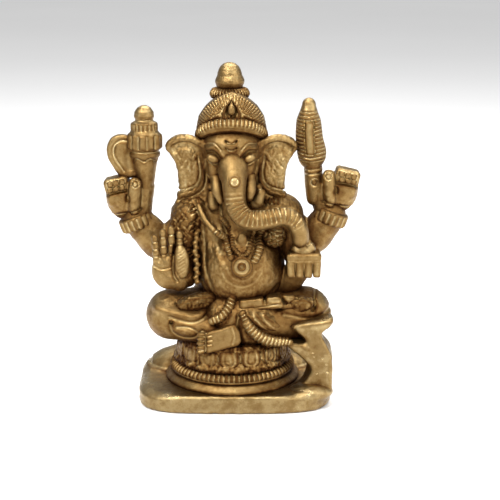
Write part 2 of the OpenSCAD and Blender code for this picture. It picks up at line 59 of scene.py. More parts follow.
GRAIN_SHADE = 2.4       # how much the casting grain adds to the patina
PAINTED_TOP_LIGHT = 0.22     # painted light from above: how much facing up brightens the patina colour
WIDE_PITCH = 0.35       # grid of the whole figure, for the painted shade and the patina of its broad hollows
WIDE_SCALE = 0.2        # share of solid nearby that counts as fully dark or bright in that painted shade

Shape = namedtuple("Shape", "low high field")


# ---------------------------------------------------------------- places from the frame

def centre(node):
    low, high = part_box(node)
    return (np.array(low) + np.array(high)) / (2 * MM)


def low_corner(node):
    return np.array(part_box(node)[0]) / MM


def high_corner(node):
    return np.array(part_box(node)[1]) / MM


def offset(point, dx=0.0, dy=0.0, dz=0.0):
    return np.array(point, float) + (dx, dy, dz)


def round_size(node, middle=None):
    """The middle of a round node's underside, its radius and its height."""
    low, high = low_corner(node), high_corner(node)
    middle = (low + high) / 2 if middle is None else middle
    return (middle[0], middle[1], low[2]), (high[0] - low[0]) / 2, high[2] - low[2]


SEAT = np.array([*centre("seat_cushion")[:2], high_corner("seat_cushion")[2]])
WAIST = np.array([centre("torso")[0], 0.0, SEAT[2]])
HEAD = offset(centre("crown_band"), dy=-0.5, dz=-3.2)
BELLY = offset(WAIST, 0.8, -1.5, 15.4)
RIGHT_WRIST = offset(centre("rear_right_bracelet"), -0.1, 0, 0.6)
LEFT_WRIST = offset(centre("rear_left_bracelet"), 0.2, 0, 0.6)
RIGHT_HAND = offset(centre("blessing_hand"), -0.2, -0.5, -2.5)
LEFT_HAND = offset(centre("offering_hand"), 0, 0.3, -0.3)
RIGHT_SHOULDER = offset(centre("right_upper_arm"), 1.9, 2.5, 5.8)
LEFT_SHOULDER = offset(centre("left_upper_arm"), -2.0, 2.9, 4.6)
BELLY_SIZE = np.array([10.0, 9.3, 10.6])
DOME = offset(HEAD, 0, 1.0, 3.4)
DOME_SIZE = np.array([7.8, 7.3, 9.1])
BAND = offset(HEAD, 0, 0.5, 3.2)
CROWN_TILT = 30
SIDES = ((-1, "right"), (1, "left"))
PETALS = 16
FINGER_JOINTS = 3
TWIST_PITCH = 0.85      # along the sashes, from one rib to the next
TRUNK_PITCH = 0.97      # along the trunk, from one cut line to the next


# ---------------------------------------------------------------- shapes

def turn_matrix(turn):
    return np.array(Euler([math.radians(a) for a in turn]).to_matrix())


def egg(at, size, turn=(0, 0, 0)):
    """An ellipsoid with half sizes in size, turned by degrees about X, Y and Z."""
    at, size, rot = np.array(at, float), np.array(size, float), turn_matrix(turn)
    reach = np.sqrt(((rot * size) ** 2).sum(axis=1))

    def field(x, y, z):
        dx, dy, dz = x - at[0], y - at[1], z - at[2]
        near = far = 0
        for axis in range(3):
            along = rot[0, axis] * dx + rot[1, axis] * dy + rot[2, axis] * dz
            near = near + (along / size[axis]) ** 2
            far = far + (along / size[axis] ** 2) ** 2
        near = np.sqrt(near)
        return near * (near - 1) / (np.sqrt(far) + TINY)
    return Shape(at - reach, at + reach, field)


def block(at, size, round_by, turn=(0, 0, 0)):
    """A box with half sizes in size and edges rounded by round_by."""
    at, size, rot = np.array(at, float), np.array(size, float), turn_matrix(turn)
    reach = np.abs(rot * size).sum(axis=1)

    def field(x, y, z):
        dx, dy, dz = x - at[0], y - at[1], z - at[2]
        outside, inside = 0, -1e9
        for axis in range(3):
            along = np.abs(rot[0, axis] * dx + rot[1, axis] * dy + rot[2, axis] * dz)
            gap = along - size[axis] + round_by
            outside = outside + np.maximum(gap, 0) ** 2
            inside = np.maximum(inside, gap)
        return np.sqrt(outside) + np.minimum(inside, 0) - round_by
    return Shape(at - reach, at + reach, field)


def limb(a, ra, b, rb):
    """A round-ended limb that tapers from radius ra at a to rb at b."""
    a, b = np.array(a, float), np.array(b, float)
    span = b - a
    length2 = float(span @ span) + 1e-9

    def field(x, y, z):
        dx, dy, dz = x - a[0], y - a[1], z - a[2]
        t = np.clip((dx * span[0] + dy * span[1] + dz * span[2]) / length2, 0, 1)
        away = (dx - t * span[0]) ** 2 + (dy - t * span[1]) ** 2 + (dz - t * span[2]) ** 2
        return np.sqrt(away) - (ra + (rb - ra) * t)
    radius = max(ra, rb)
    return Shape(np.minimum(a, b) - radius, np.maximum(a, b) + radius, field)


def smooth_path(points, steps=6):
    """Points on a Catmull-Rom curve through points, which may carry extra columns such as a radius."""
    p = np.array(points, float)
    p = np.vstack([2 * p[0] - p[1], p, 2 * p[-1] - p[-2]])
    out = []
    for i in range(1, len(p) - 2):
        for t in np.arange(steps) / steps:
            a = 2 * p[i]
            b = (p[i + 1] - p[i - 1]) * t
            c = (2 * p[i - 1] - 5 * p[i] + 4 * p[i + 1] - p[i + 2]) * t ** 2
            d = (3 * p[i] - p[i - 1] - 3 * p[i + 1] + p[i + 2]) * t ** 3
            out.append((a + b + c + d) / 2)
    out.append(p[-2])
    return np.array(out)


def tube(path, ripple=None):
    """A tube along [x, y, z, radius] rows. ripple(along, nx, ny, nz) adds to its radius, where n is the
    direction from the tube's middle to its surface."""
    rows = smooth_path(path)
    radius = rows[:, 3].max()
    low, high = rows[:, :3].min(0) - radius, rows[:, :3].max(0) + radius
    steps = np.linalg.norm(np.diff(rows[:, :3], axis=0), axis=1)
    starts = np.concatenate([[0], np.cumsum(steps)])

    def field(x, y, z):
        best = np.full(np.broadcast(x, y, z).shape, 1e3, np.float32)
        along = np.zeros_like(best)
        normal = [np.zeros_like(best) for _ in range(3)]
        for i in range(len(rows) - 1):
            a, span = rows[i, :3], rows[i + 1, :3] - rows[i, :3]
            dx, dy, dz = x - a[0], y - a[1], z - a[2]
            t = np.clip((dx * span[0] + dy * span[1] + dz * span[2]) / (steps[i] ** 2 + 1e-9), 0, 1)
            gap = (dx - t * span[0], dy - t * span[1], dz - t * span[2])
            length = np.sqrt(gap[0] ** 2 + gap[1] ** 2 + gap[2] ** 2)
            distance = length - (rows[i, 3] + (rows[i + 1, 3] - rows[i, 3]) * t)
            closer = distance < best
            best = np.where(closer, distance, best)
            if ripple:
                along = np.where(closer, starts[i] + t * steps[i], along)
                normal = [np.where(closer, g / (length + TINY), n) for g, n in zip(gap, normal)]
        return best - ripple(along, *normal) if ripple else best
    return Shape(low, high, field)


def turned(at, profile, wave=None):
    """A solid turned about the vertical through at, from [radius, height] rows up its side.

    wave(angle, height, radius) adds to the surface.
    """
    rows = np.array(profile, float)
    outline = np.vstack([[0, rows[0, 1]], rows, [0, rows[-1, 1]]])
    reach = rows[:, 0].max()
    low = np.array([at[0] - reach, at[1] - reach, at[2] + rows[:, 1].min()])
    high = np.array([at[0] + reach, at[1] + reach, at[2] + rows[:, 1].max()])

    def field(x, y, z):
        radius = np.hypot(x - at[0], y - at[1])
        height = z - at[2]
        distance = polygon_distance(outline, radius, height)
        if wave:
            distance = distance - wave(np.arctan2(x - at[0], at[1] - y), height, radius)
        return distance
    return Shape(low, high, field)


def polygon_distance(points, u, v):
    """Signed distance in a plane to a closed outline, negative inside."""
    best = np.full(np.broadcast(u, v).shape, 1e6, np.float32)
    inside = np.zeros(best.shape, bool)
    for a, b in zip(points, np.roll(points, -1, axis=0)):
        du, dv = b[0] - a[0], b[1] - a[1]
        if du * du + dv * dv < 1e-12:
            continue
        t = np.clip(((u - a[0]) * du + (v - a[1]) * dv) / (du * du + dv * dv), 0, 1)
        best = np.minimum(best, (u - a[0] - t * du) ** 2 + (v - a[1] - t * dv) ** 2)
        if dv:
            crosses = (v >= min(a[1], b[1])) & (v < max(a[1], b[1]))
            inside ^= crosses & (u < a[0] + (v - a[1]) * du / dv)
    return np.where(inside, -1, 1) * np.sqrt(best)


def rounded(across, through, round_by):
    """Distance to a plate from the distances to its outline and to its faces, with rounded edges."""
    across, through = across + round_by, through + round_by
    outside = np.sqrt(np.maximum(across, 0) ** 2 + np.maximum(through, 0) ** 2)
    return outside + np.minimum(np.maximum(across, through), 0) - round_by


def slab(outline, y_front, y_back, round_by):
    """An outline in the XZ plane, [x, z] rows, grown from y_front to y_back with rounded edges."""
    points = np.array(outline, float)
    low = np.array([points[:, 0].min(), y_front, points[:, 1].min()])
    high = np.array([points[:, 0].max(), y_back, points[:, 1].max()])
    middle, half = (y_front + y_back) / 2, (y_back - y_front) / 2

    def field(x, y, z):
        return rounded(polygon_distance(points, x, z), np.abs(y - middle) - half, round_by)
    return Shape(low, high, field)


def smooth_min(a, b, k):
    if k <= 0:
        return np.minimum(a, b)
    h = np.clip(0.5 + 0.5 * (b - a) / k, 0, 1)
    return b + (a - b) * h - k * h * (1 - h)


def merged(shapes, blend):
    """Several shapes as one, with blended joins."""
    low = np.min([s.low for s in shapes], axis=0)
    high = np.max([s.high for s in shapes], axis=0)

    def field(x, y, z):
        total = shapes[0].field(x, y, z)
        for shape in shapes[1:]:
            total = smooth_min(total, shape.field(x, y, z), blend)
        return total
    return Shape(low, high, field)


# ---------------------------------------------------------------- clay

class Clay:
    """A distance field on a grid, which is shaped by adding, cutting and drawing relief."""

    def __init__(self, node, shape, pitch=FINE, margin=0.6):
        """Starts the piece that stands for a CAD node, with room for that node's whole box."""
        self.node = node
        self.pitch = pitch
        self.low = np.minimum(shape.low, low_corner(node)) - margin
        high = np.maximum(shape.high, high_corner(node)) + margin
        counts = np.ceil((high - self.low) / pitch).astype(int) + 1
        self.axes = [(self.low[i] + pitch * np.arange(counts[i])).astype(np.float32) for i in range(3)]
        self.field = np.full(counts, FAR, np.float32)
        self.add(shape)
        self.facing(np.zeros(3), high[1])

    def facing(self, anchor, reach, side=1):
        """Sets the anchor that drawings are offset from, along X times side, and the Y they reach back to."""
        self.anchor, self.reach, self.side = anchor, reach, side

    def on_face(self, points):
        """Offsets [x, z] from the anchor as places seen from the front."""
        return [(self.anchor[0] + self.side * x, self.anchor[2] + z) for x, z in points]

    def window(self, low, high):
        """The part of the grid between two corners, as slices and as coordinates that broadcast over it."""
        cuts = []
        for i in range(3):
            first = np.searchsorted(self.axes[i], low[i])
            last = np.searchsorted(self.axes[i], high[i])
            cuts.append(slice(max(first, 0), max(last, first + 1)))
        x, y, z = (self.axes[i][cuts[i]] for i in range(3))
        return tuple(cuts), x[:, None, None], y[None, :, None], z[None, None, :]

    def everywhere(self):
        """The whole grid as coordinates that broadcast over it."""
        x, y, z = self.axes
        return x[:, None, None], y[None, :, None], z[None, None, :]

    def add(self, shape, blend=0.0):
        pad = blend + 0.5
        cut, x, y, z = self.window(shape.low - pad, shape.high + pad)
        if self.field[cut].size:
            self.field[cut] = smooth_min(self.field[cut], shape.field(x, y, z), blend)

    def cut(self, shape, blend=0.0):
        pad = blend + 0.5
        cut, x, y, z = self.window(shape.low - pad, shape.high + pad)
        if self.field[cut].size:
            self.field[cut] = -smooth_min(-self.field[cut], shape.field(x, y, z), blend)

    def trim(self, keep):
        """Keeps only what is inside keep(x, y, z) < 0."""
        x, y, z = self.everywhere()
        self.field = np.maximum(self.field, keep(x, y, z)).astype(np.float32)

    def weld(self, neighbours, width=0.7):
        """Grows a small fillet onto the neighbouring forms."""
        own = self.field.copy()
        for shape in neighbours:
            cut, x, y, z = self.window(shape.low - width, shape.high + width)
            if not self.field[cut].size:
                continue
            other = shape.field(x, y, z) + 0.04
            joined = smooth_min(self.field[cut], other, width)
            self.field[cut] = np.maximum(joined, own[cut] - 0.8 * width)
        return self

    def swell(self, amount):
        """Raises the surface by amount(x, y, z)."""
        x, y, z = self.everywhere()
        self.field -= amount(x, y, z)

    def draw(self, points, width, height, curved=True):
        """Draws a line on the front, raised by height or engraved where height is negative."""
        points = self.on_face(points)
        line = smooth_path(points, 4) if curved and len(points) > 2 else np.array(points, float)
        pad = 2.2 * width
        low = np.array([line[:, 0].min() - pad, self.low[1] - 1, line[:, 1].min() - pad])
        high = np.array([line[:, 0].max() + pad, self.reach, line[:, 1].max() + pad])
        cut, x, _, z = self.window(low, high)
        if self.field[cut].size:
            self.field[cut] -= height * bell(line_distance(line, x, z), width)

    def strokes(self, places, run, width, height):
        """Draws short straight lines, reaching run to both sides, at [x, z, angle] places."""
        for x, z, angle in places:
            dx, dz = run * math.cos(angle), run * math.sin(angle)
            self.draw([(x - dx, z - dz), (x + dx, z + dz)], width, height, curved=False)

    def dimple(self, at, size, height, turn=0.0, rim=0.0):
        """Raises or sinks an oval on the front; rim adds a groove round it."""
        at = self.on_face([at])[0]
        pad = 2 * max(size)
        low = np.array([at[0] - pad, self.low[1] - 1, at[1] - pad])
        high = np.array([at[0] + pad, self.reach, at[1] + pad])
        cut, x, _, z = self.window(low, high)
        if self.field[cut].size:
            c, s = math.cos(math.radians(turn)), math.sin(math.radians(turn))
            u = (c * (x - at[0]) + s * (z - at[1])) / size[0]
            v = (-s * (x - at[0]) + c * (z - at[1])) / size[1]
            radius = np.sqrt(u ** 2 + v ** 2)
            swell = height * np.clip(1.25 - radius ** 2, 0, 1)
            self.field[cut] -= swell - rim * bell(radius - 1.1, 0.22)


def bell(distance, width):
    """1 where distance is 0, falling to nothing over about twice the width."""
    return np.exp(-(distance / width) ** 2)


def line_distance(line, x, z):
    best = np.full(np.broadcast(x, z).shape, 1e6, np.float32)
    for a, b in zip(line[:-1], line[1:]):
        du, dv = b[0] - a[0], b[1] - a[1]
        t = np.clip(((x - a[0]) * du + (z - a[1]) * dv) / (du * du + dv * dv + 1e-9), 0, 1)
        best = np.minimum(best, (x - a[0] - t * du) ** 2 + (z - a[1] - t * dv) ** 2)
    return np.sqrt(best)


# ---------------------------------------------------------------- noise

PRIMES = (73856093, 19349663, 83492791, 2654435761, 1274126177)


def lattice_noise(points, size, seed):
    """Smooth noise from -1 to 1 at points, with features about size across."""
    p = points / size
    cell = np.floor(p).astype(np.int64)
    t = p - cell
    t = t * t * (3 - 2 * t)
    total = np.zeros(len(points))
    for corner in range(8):
        side = np.array([corner & 1, corner >> 1 & 1, corner >> 2 & 1])
        key = cell + side
        mixed = key[:, 0] * PRIMES[0] ^ key[:, 1] * PRIMES[1] ^ key[:, 2] * PRIMES[2] ^ seed * PRIMES[3]
        mixed = (mixed ^ mixed >> 13) * PRIMES[4]
        value = ((mixed ^ mixed >> 16) & 0xFFFF) / 32767.5 - 1
        total += value * np.prod(np.where(side, t, 1 - t), axis=1)
    return total


def box_blur(volume, reach):
    """Two passes of a moving average of 2 * reach + 1 cells along each axis."""
    width = 2 * reach + 1
    for axis in range(3):
        for _ in range(2):
            padding = [(0, 0)] * 3
            padding[axis] = (reach + 1, reach)
            total = np.cumsum(np.pad(volume, padding, mode="edge"), axis=axis, dtype=np.float64)
            ahead = [slice(None)] * 3
            behind = [slice(None)] * 3
            ahead[axis] = slice(width, None)
            behind[axis] = slice(None, -width)
            volume = ((total[tuple(ahead)] - total[tuple(behind)]) / width).astype(np.float32)
    return volume


def sample(volume, low, pitch, points):
    """Trilinear values of a volume at points."""
    p = (points - low) / pitch
    limit = np.array(volume.shape) - 2
    cell = np.clip(np.floor(p).astype(int), 0, limit)
    t = np.clip(p - cell, 0, 1)
    total = np.zeros(len(points))
    for corner in range(8):
        side = np.array([corner & 1, corner >> 1 & 1, corner >> 2 & 1])
        index = cell + side
        weight = np.prod(np.where(side, t, 1 - t), axis=1)
        total += weight * volume[index[:, 0], index[:, 1], index[:, 2]]
    return total


# ---------------------------------------------------------------- meshing

def surface_net(field):
    """Vertices in cells and quads of the surface where the field is zero."""
    inside = field < 0
    corners = [inside[i:inside.shape[0] - 1 + i, j:inside.shape[1] - 1 + j, k:inside.shape[2] - 1 + k]
               for i in (0, 1) for j in (0, 1) for k in (0, 1)]
    count = sum(c.astype(np.int8) for c in corners)
    cells = np.argwhere((count > 0) & (count < 8))
    values = np.stack([field[cells[:, 0] + i, cells[:, 1] + j, cells[:, 2] + k]
                       for i in (0, 1) for j in (0, 1) for k in (0, 1)], axis=1)
    places = np.array([(i, j, k) for i in (0, 1) for j in (0, 1) for k in (0, 1)], float)
    total, hits = np.zeros((len(cells), 3)), np.zeros(len(cells))
    for a in range(8):
        for b in range(a + 1, 8):
            if np.abs(places[a] - places[b]).sum() != 1:
                continue
            crossing = (values[:, a] < 0) != (values[:, b] < 0)
            t = values[:, a] / np.where(crossing, values[:, a] - values[:, b], 1)
            point = places[a] + t[:, None] * (places[b] - places[a])
            total += np.where(crossing[:, None], point, 0)
            hits += crossing
    vertices = cells + total / hits[:, None]

    number = np.full(count.shape, -1, np.int64)
    number[tuple(cells.T)] = np.arange(len(cells))
    quads = []
    for axis in range(3):
        u, v = (axis + 1) % 3, (axis + 2) % 3
        lower = [slice(None)] * 3
        upper = [slice(None)] * 3
        lower[axis] = slice(None, -1)
        upper[axis] = slice(1, None)
        starts, ends = inside[tuple(lower)], inside[tuple(upper)]
        edges = np.argwhere(starts != ends)
        edges = edges[(edges[:, u] > 0) & (edges[:, v] > 0)
                      & (edges[:, u] < count.shape[u]) & (edges[:, v] < count.shape[v])]
        outward = starts[tuple(edges.T)]
        ring = []
        for du, dv in ((1, 1), (0, 1), (0, 0), (1, 0)):
            cell = edges.copy()
            cell[:, u] -= du
            cell[:, v] -= dv
            ring.append(number[tuple(cell.T)])
        ring = np.stack(ring, axis=1)
        quads.append(np.where(outward[:, None], ring, ring[:, ::-1]))
    return vertices, np.vstack(quads)


def refine(clay, points):
    """Moves the points onto the surface and returns them with their outward normals."""
    h = clay.pitch
    for _ in range(2):
        ahead = [sample(clay.field, clay.low, h, points + h * unit) for unit in np.eye(3)]
        behind = [sample(clay.field, clay.low, h, points - h * unit) for unit in np.eye(3)]
        slope = (np.stack(ahead, axis=1) - np.stack(behind, axis=1)) / (2 * h)
        steep = np.maximum((slope ** 2).sum(1), 0.05)
        value = np.clip(sample(clay.field, clay.low, h, points), -h, h)
        points = points - (value / steep)[:, None] * slope
    normals = slope / np.maximum(np.linalg.norm(slope, axis=1), TINY)[:, None]
    return points, normals


Cast = namedtuple("Cast", "clay points quads slot fine")
casts = []


def cast(clay, slot="cast_brass", rough=0.035, crumple=None):
    """Meshes a piece, with the small unevenness of a sand casting.

    crumple(points) gives how strongly the wax was scored at each point, in millimetres.
    """
    rim = clay.field
    for axis in range(3):
        for side in (0, -1):
            face = [slice(None)] * 3
            face[axis] = side
            rim[tuple(face)] = np.maximum(rim[tuple(face)], 0.01)
    cells, quads = surface_net(clay.field)
    points, normals = refine(clay, clay.low + cells * clay.pitch)
    grain = rough * (lattice_noise(points, 1.9, SEED) + 0.6 * lattice_noise(points, 0.75, SEED + 1))
    if crumple:
        score = np.abs(lattice_noise(points * (1.0, 1.0, 0.7), 0.85, SEED + 2)) ** 0.7 - 0.45
        score = score + 0.5 * lattice_noise(points, 0.42, SEED + 3)
        grain = grain + crumple(points) * score
    reach = max(1, round(BEND_REACH / clay.pitch))
    bend = box_blur(np.clip(clay.field, -0.5, 0.5), reach)
    fine = GRAIN_SHADE * grain - sample(bend, clay.low, clay.pitch, points) / BEND_SCALE
    points = points + normals * grain[:, None]
    # facing up is added to the colour as painted light from above
    casts.append(Cast(clay, points, quads, slot, fine + PAINTED_TOP_LIGHT * normals[:, 2]))


# ---------------------------------------------------------------- placing helpers

def local(anchor):
    """A function that turns offsets from an anchor into places."""
    return lambda x, y, z: anchor + np.array((x, y, z), float)


def flat(anchor, rows):
    """Offsets [x, z] from an anchor as points of a drawing seen from the front."""
    return [(anchor[0] + x, anchor[2] + z) for x, z in rows]


def placed(shape, at, turn):
    """A shape made round the origin, turned by degrees and moved to a place."""
    rot = turn_matrix(turn)
    corners = np.array([[(shape.low, shape.high)[b >> i & 1][i] for i in range(3)] for b in range(8)])
    corners = corners @ rot.T + at

    def field(x, y, z):
        dx, dy, dz = x - at[0], y - at[1], z - at[2]
        u, v, w = (rot[0, i] * dx + rot[1, i] * dy + rot[2, i] * dz for i in range(3))
        return shape.field(u, v, w)
    return Shape(corners.min(0), corners.max(0), field)


def swept(shape, slope_x, slope_z, about):
    """A shape leaned back by slope_x along X and slope_z along Z, measured from a point."""
    shift = max(abs(slope_x * (shape.high[0] - about[0])), abs(slope_x * (shape.low[0] - about[0])))
    shift = shift + max(abs(slope_z * (shape.high[2] - about[2])), abs(slope_z * (shape.low[2] - about[2])))

    def field(x, y, z):
        return shape.field(x, y - slope_x * (x - about[0]) - slope_z * (z - about[2]), z)
    return Shape(shape.low - (0, shift, 0), shape.high + (0, shift, 0), field)


def ribs(value, sharpness=1.0):
    """A row of ridges from -1 to 1 with narrower valleys as sharpness grows."""
    wave = 0.5 + 0.5 * np.cos(value)
    return 2 * wave ** (1 / sharpness) - 1


def grooves(distance, pitch, width):
    """Thin engraved lines, from 0 between them to 1 at the bottom of each."""
    phase = (distance / pitch + 0.5) % 1.0 - 0.5
    return bell(phase * pitch, width)


def step(value, low, high):
    """0 below low, 1 above high, with a smooth rise between."""
    t = np.clip((value - low) / (high - low), 0, 1)
    return t * t * (3 - 2 * t)


body = local(WAIST)
belly = local(BELLY)
head = local(HEAD)
right_shoulder = local(RIGHT_SHOULDER)
left_shoulder = local(LEFT_SHOULDER)
right_hand = local(RIGHT_HAND)
left_hand = local(LEFT_HAND)


def belly_form():
    return egg(BELLY, BELLY_SIZE)


def girdle_form():
    """The band of muscle from shoulder to shoulder."""
    return limb(RIGHT_SHOULDER, 4.8, LEFT_SHOULDER, 4.8)


def skull_form():
    return egg(HEAD, (6.7, 6.7, 6.6))


# ---------------------------------------------------------------- base and seat

def plinth():
    """The plinth: crisp at the front, where the seat comes close to its edge, and rounded at its ends."""
    low, high = low_corner("plinth"), high_corner("plinth")
    middle, half = (low + high) / 2, (high - low) / 2

    def field(x, y, z):
        u, v = np.abs(x - middle[0]) / half[0], np.abs(y - middle[1]) / half[1]
        edge = 0.8 + 1.7 * step(u, 0.45, 0.85) * step(z, middle[2], high[2])
        size = (u ** 4 + v ** 4) ** 0.25 + TINY
        slope = np.sqrt((u ** 3 / half[0]) ** 2 + (v ** 3 / half[1]) ** 2) / size ** 3 + TINY
        return rounded(np.maximum((size - 1) / slope, -6), np.abs(z - middle[2]) - half[2], edge)
    clay = Clay("plinth", Shape(low, high, field), pitch=COARSE, margin=5.6)
    # metal that ran up against the seat at the back, and round the foot of the mouse
    clay.add(egg((middle[0] - 1.0, 7.0, high[2] - 0.6), (16.5, 8.2, 2.7)), 1.6)
    clay.add(egg((middle[0] - 8.0, 8.0, high[2] - 0.8), (12.6, 7.6, 5.4)), 3.2)
    clay.add(egg((middle[0] + 7.0, 8.6, high[2] - 0.8), (11.0, 6.6, 3.8)), 3.2)
    clay.add(egg((high[0] - 4.6, low[1] + 5.2, high[2] - 0.4), (4.8, 3.8, 2.0)), 1.6)
    clay.trim(lambda x, y, z: low[2] - z)
    cast(clay, "worn_brass", rough=0.06)


def seat_step():
    at, radius, height = round_size("seat_step", SEAT)
    profile = [(radius, 0), (radius, 0.35 * height), (radius - 0.5, 0.62 * height), (radius - 1.1, height)]
    clay = Clay("seat_step", turned(at, profile), pitch=COARSE)
    cast(clay, rough=0.05)


def beaded_ring():
    """A sloping band with upright ribs all round it."""
    at, radius, height = round_size("beaded_ring", SEAT)
    profile = [(radius - 0.6, 0), (radius - 0.3, 0.12 * height), (radius - 0.55, 0.24 * height),
               (radius - 0.1, 0.36 * height), (radius - 0.35, 0.62 * height), (radius - 1.2, 0.88 * height),
               (radius - 2.4, height), (radius - 4, height)]

    def beads(angle, up, out):
        zone = step(up, 0.26 * height, 0.4 * height) * step(out, radius - 2.6, radius - 1.9)
        return 0.24 * (ribs(76 * angle, 1.5) - 0.3) * zone
    cast(Clay("beaded_ring", turned(at, profile, beads)), rough=0.05)


def seat_cushion():
    at, radius, height = round_size("seat_cushion", SEAT)
    profile = [(radius, 0), (radius - 0.1, 0.12 * height), (radius - 0.7, 0.3 * height),
               (radius - 1.1, 0.55 * height), (radius - 0.9, 0.9 * height), (radius - 1.3, height)]
    cast(Clay("seat_cushion", turned(at, profile), pitch=0.18), "dark_brass", 0.1, crumple=lambda p: 0.3)


def lotus_petals():
    """Broad petals round the cushion, each with a raised rim and an inner loop; some are worn away."""
    _, radius, _ = round_size("lotus_petals")
    half = 0.46 * 2 * math.pi * radius / PETALS
    profile = [(radius - 1.0, -2.3), (radius - 0.45, -1.9), (radius - 0.4, 0), (radius - 0.7, 1.9),
               (radius - 1.5, 2.3)]
    at = (SEAT[0], SEAT[1], SEAT[2] - 3.1)
    turn = math.radians(20)
    pitch = 2 * math.pi / PETALS

    def relief(angle, up, out):
        across = ((angle - turn + pitch / 2) % pitch - pitch / 2) * radius / half
        tongue = np.sqrt(across ** 2 + np.where(up < 0, (up / 2.15) ** 2, (up / 5.5) ** 2))
        rim, loop = bell(tongue - 0.8, 0.14), bell(tongue - 0.38, 0.14)
        gap = step(tongue, 0.95, 1.1)
        crisp = step(np.cos(angle - math.radians(35)), 0.55, 0.9)
        worn = 0.3 + 0.7 * crisp + 0.3 * step(-np.cos(angle), 0, 0.6)
        return worn * (0.34 * rim + 0.22 * loop - 0.3 * gap) - 0.22 - 0.5 * gap * (1 - worn)
    clay = Clay("lotus_petals", turned(at, profile, relief))
    clay.trim(lambda x, y, z: radius - 2.6 - np.hypot(x - SEAT[0], y - SEAT[1]))
    cast(clay, rough=0.06, crumple=lambda p: 0.14)


# ---------------------------------------------------------------- body

def torso_shapes():
    return [
        belly_form(),
        girdle_form(),
        limb(RIGHT_SHOULDER, 4.7, body(-1, 1, 15.4), 6.5),
        limb(LEFT_SHOULDER, 4.7, body(1, 1, 15.4), 6.5),
        egg(body(0, 0.4, 23.5), (10.2, 6.0, 8.5)),
        egg(body(0, 0.6, 8), (9.5, 6.2, 9)),
        limb(body(-6.5, 0.5, 5), 6, body(6.5, 0.5, 5), 6),
        limb(body(0, 0, 27.2), 5.2, head(0, 1.0, -10.5), 5),
    ]


def torso():
    clay = Clay("torso", merged(torso_shapes(), 2.2), pitch=0.2)
    clay.facing(BELLY, BELLY[1])
    # the shawl that lies in a thick fold down the figure's right side of the chest
    clay.draw([(-9.4, 16.5), (-7.9, 12.8), (-6.0, 10.4), (-4.4, 8.4), (-3.4, 6.2)], 0.8, 0.6)
    clay.draw([(-4.6, 15.8), (-3.9, 11.4), (-2.5, 7.6)], 0.35, -0.4)
    clay.draw([(-8.4, 10.6), (-7.9, 6.0), (-7.6, 1.0), (-6.4, -3.0)], 0.5, -0.4)
    clay.draw([(-5.6, 5.6), (-4.6, 3.4), (-4.2, 1.6)], 0.5, 0.2)
    # rings scratched round the medallion, and the crease under the belly
    for reach in (3.2, 4.6):
        ring = [(0.3 + reach * math.sin(a), 2.6 - reach * math.cos(a)) for a in np.linspace(-1.5, 1.2, 7)]
        clay.draw(ring, 0.26, -0.16)
    clay.draw([(-8.8, -1.6), (-6.4, -4.6), (-2.4, -6.4), (1.6, -6.9), (5.6, -5.6), (8.4, -2.8)], 0.4, -0.3)
    # upright beads of the shoulder strap
    clay.facing(BELLY, BELLY[1] + 2)
    for i in range(4):
        clay.dimple((5.5 + 0.95 * i, 16.2 - 0.1 * i), (0.38, 0.95), 0.5, turn=6, rim=0.25)

    def scored(points):
        u, w = points[:, 0] - RIGHT_SHOULDER[0], points[:, 2] - RIGHT_SHOULDER[2]
        shoulder = 0.34 * bell(u + 0.4, 3.0) * bell(w + 1.0, 5.0)
        waist = 0.3 * step(-points[:, 2], -BELLY[2] + 6.2, -BELLY[2] + 8.4)
        return (shoulder + waist) * step(-points[:, 1], -1, 1) + 0.1
    cast(clay, rough=0.06, crumple=scored)


def thigh_shapes(side):
    if side < 0:
        knee = body(-14.9, -3.2, 5)
        return [limb(body(-5.2, -1, 5.2), 5.9, knee, 5.55),
                limb(knee, 5.5, body(-5.6, -8.0, 2.6), 3.5)]
    knee = body(15.3, -3.0, 5.3)
    return [limb(body(5, -1, 5.4), 5.7, knee, 5.8),
            limb(knee, 5.7, body(4.8, -8.4, 3.4), 3.7)]


def right_leg():
    """The folded right leg: a leaf-shaped panel with a pit, under a bright fold of cloth."""
    clay = Clay("right_leg", merged(thigh_shapes(-1), 1.2), pitch=0.18)
    clay.facing(WAIST, WAIST[1] - 1)
    clay.draw([(-18.0, 7.9), (-15.2, 7.3), (-12.6, 6.7), (-9.4, 6.5), (-6.6, 8.0), (-4.0, 10.5)], 0.95, 0.8)
    clay.draw([(-15.0, 5.9), (-12.6, 5.2), (-10.0, 4.9), (-7.6, 5.7), (-5.3, 7.6)], 0.42, -0.4)
    clay.draw([(-13.6, 8.7), (-11.8, 8.0), (-9.0, 7.7), (-6.8, 8.9)], 0.4, -0.35)
    leaf = [(-15.0, 4.2), (-14.4, 2.4), (-12.6, 1.2), (-10.0, 1.3), (-8.6, 2.6), (-10.6, 3.8), (-13.4, 3.7)]
    clay.draw(leaf, 0.3, -0.36)
    clay.dimple((-11.8, 2.5), (2.2, 0.75), 0.3, turn=-6)
    clay.dimple((-14.7, 4.6), (0.42, 0.45), -0.9)
    clay.weld([belly_form()])
    clay.trim(lambda x, y, z: SEAT[2] - 0.55 - z)
    cast(clay, rough=0.05)


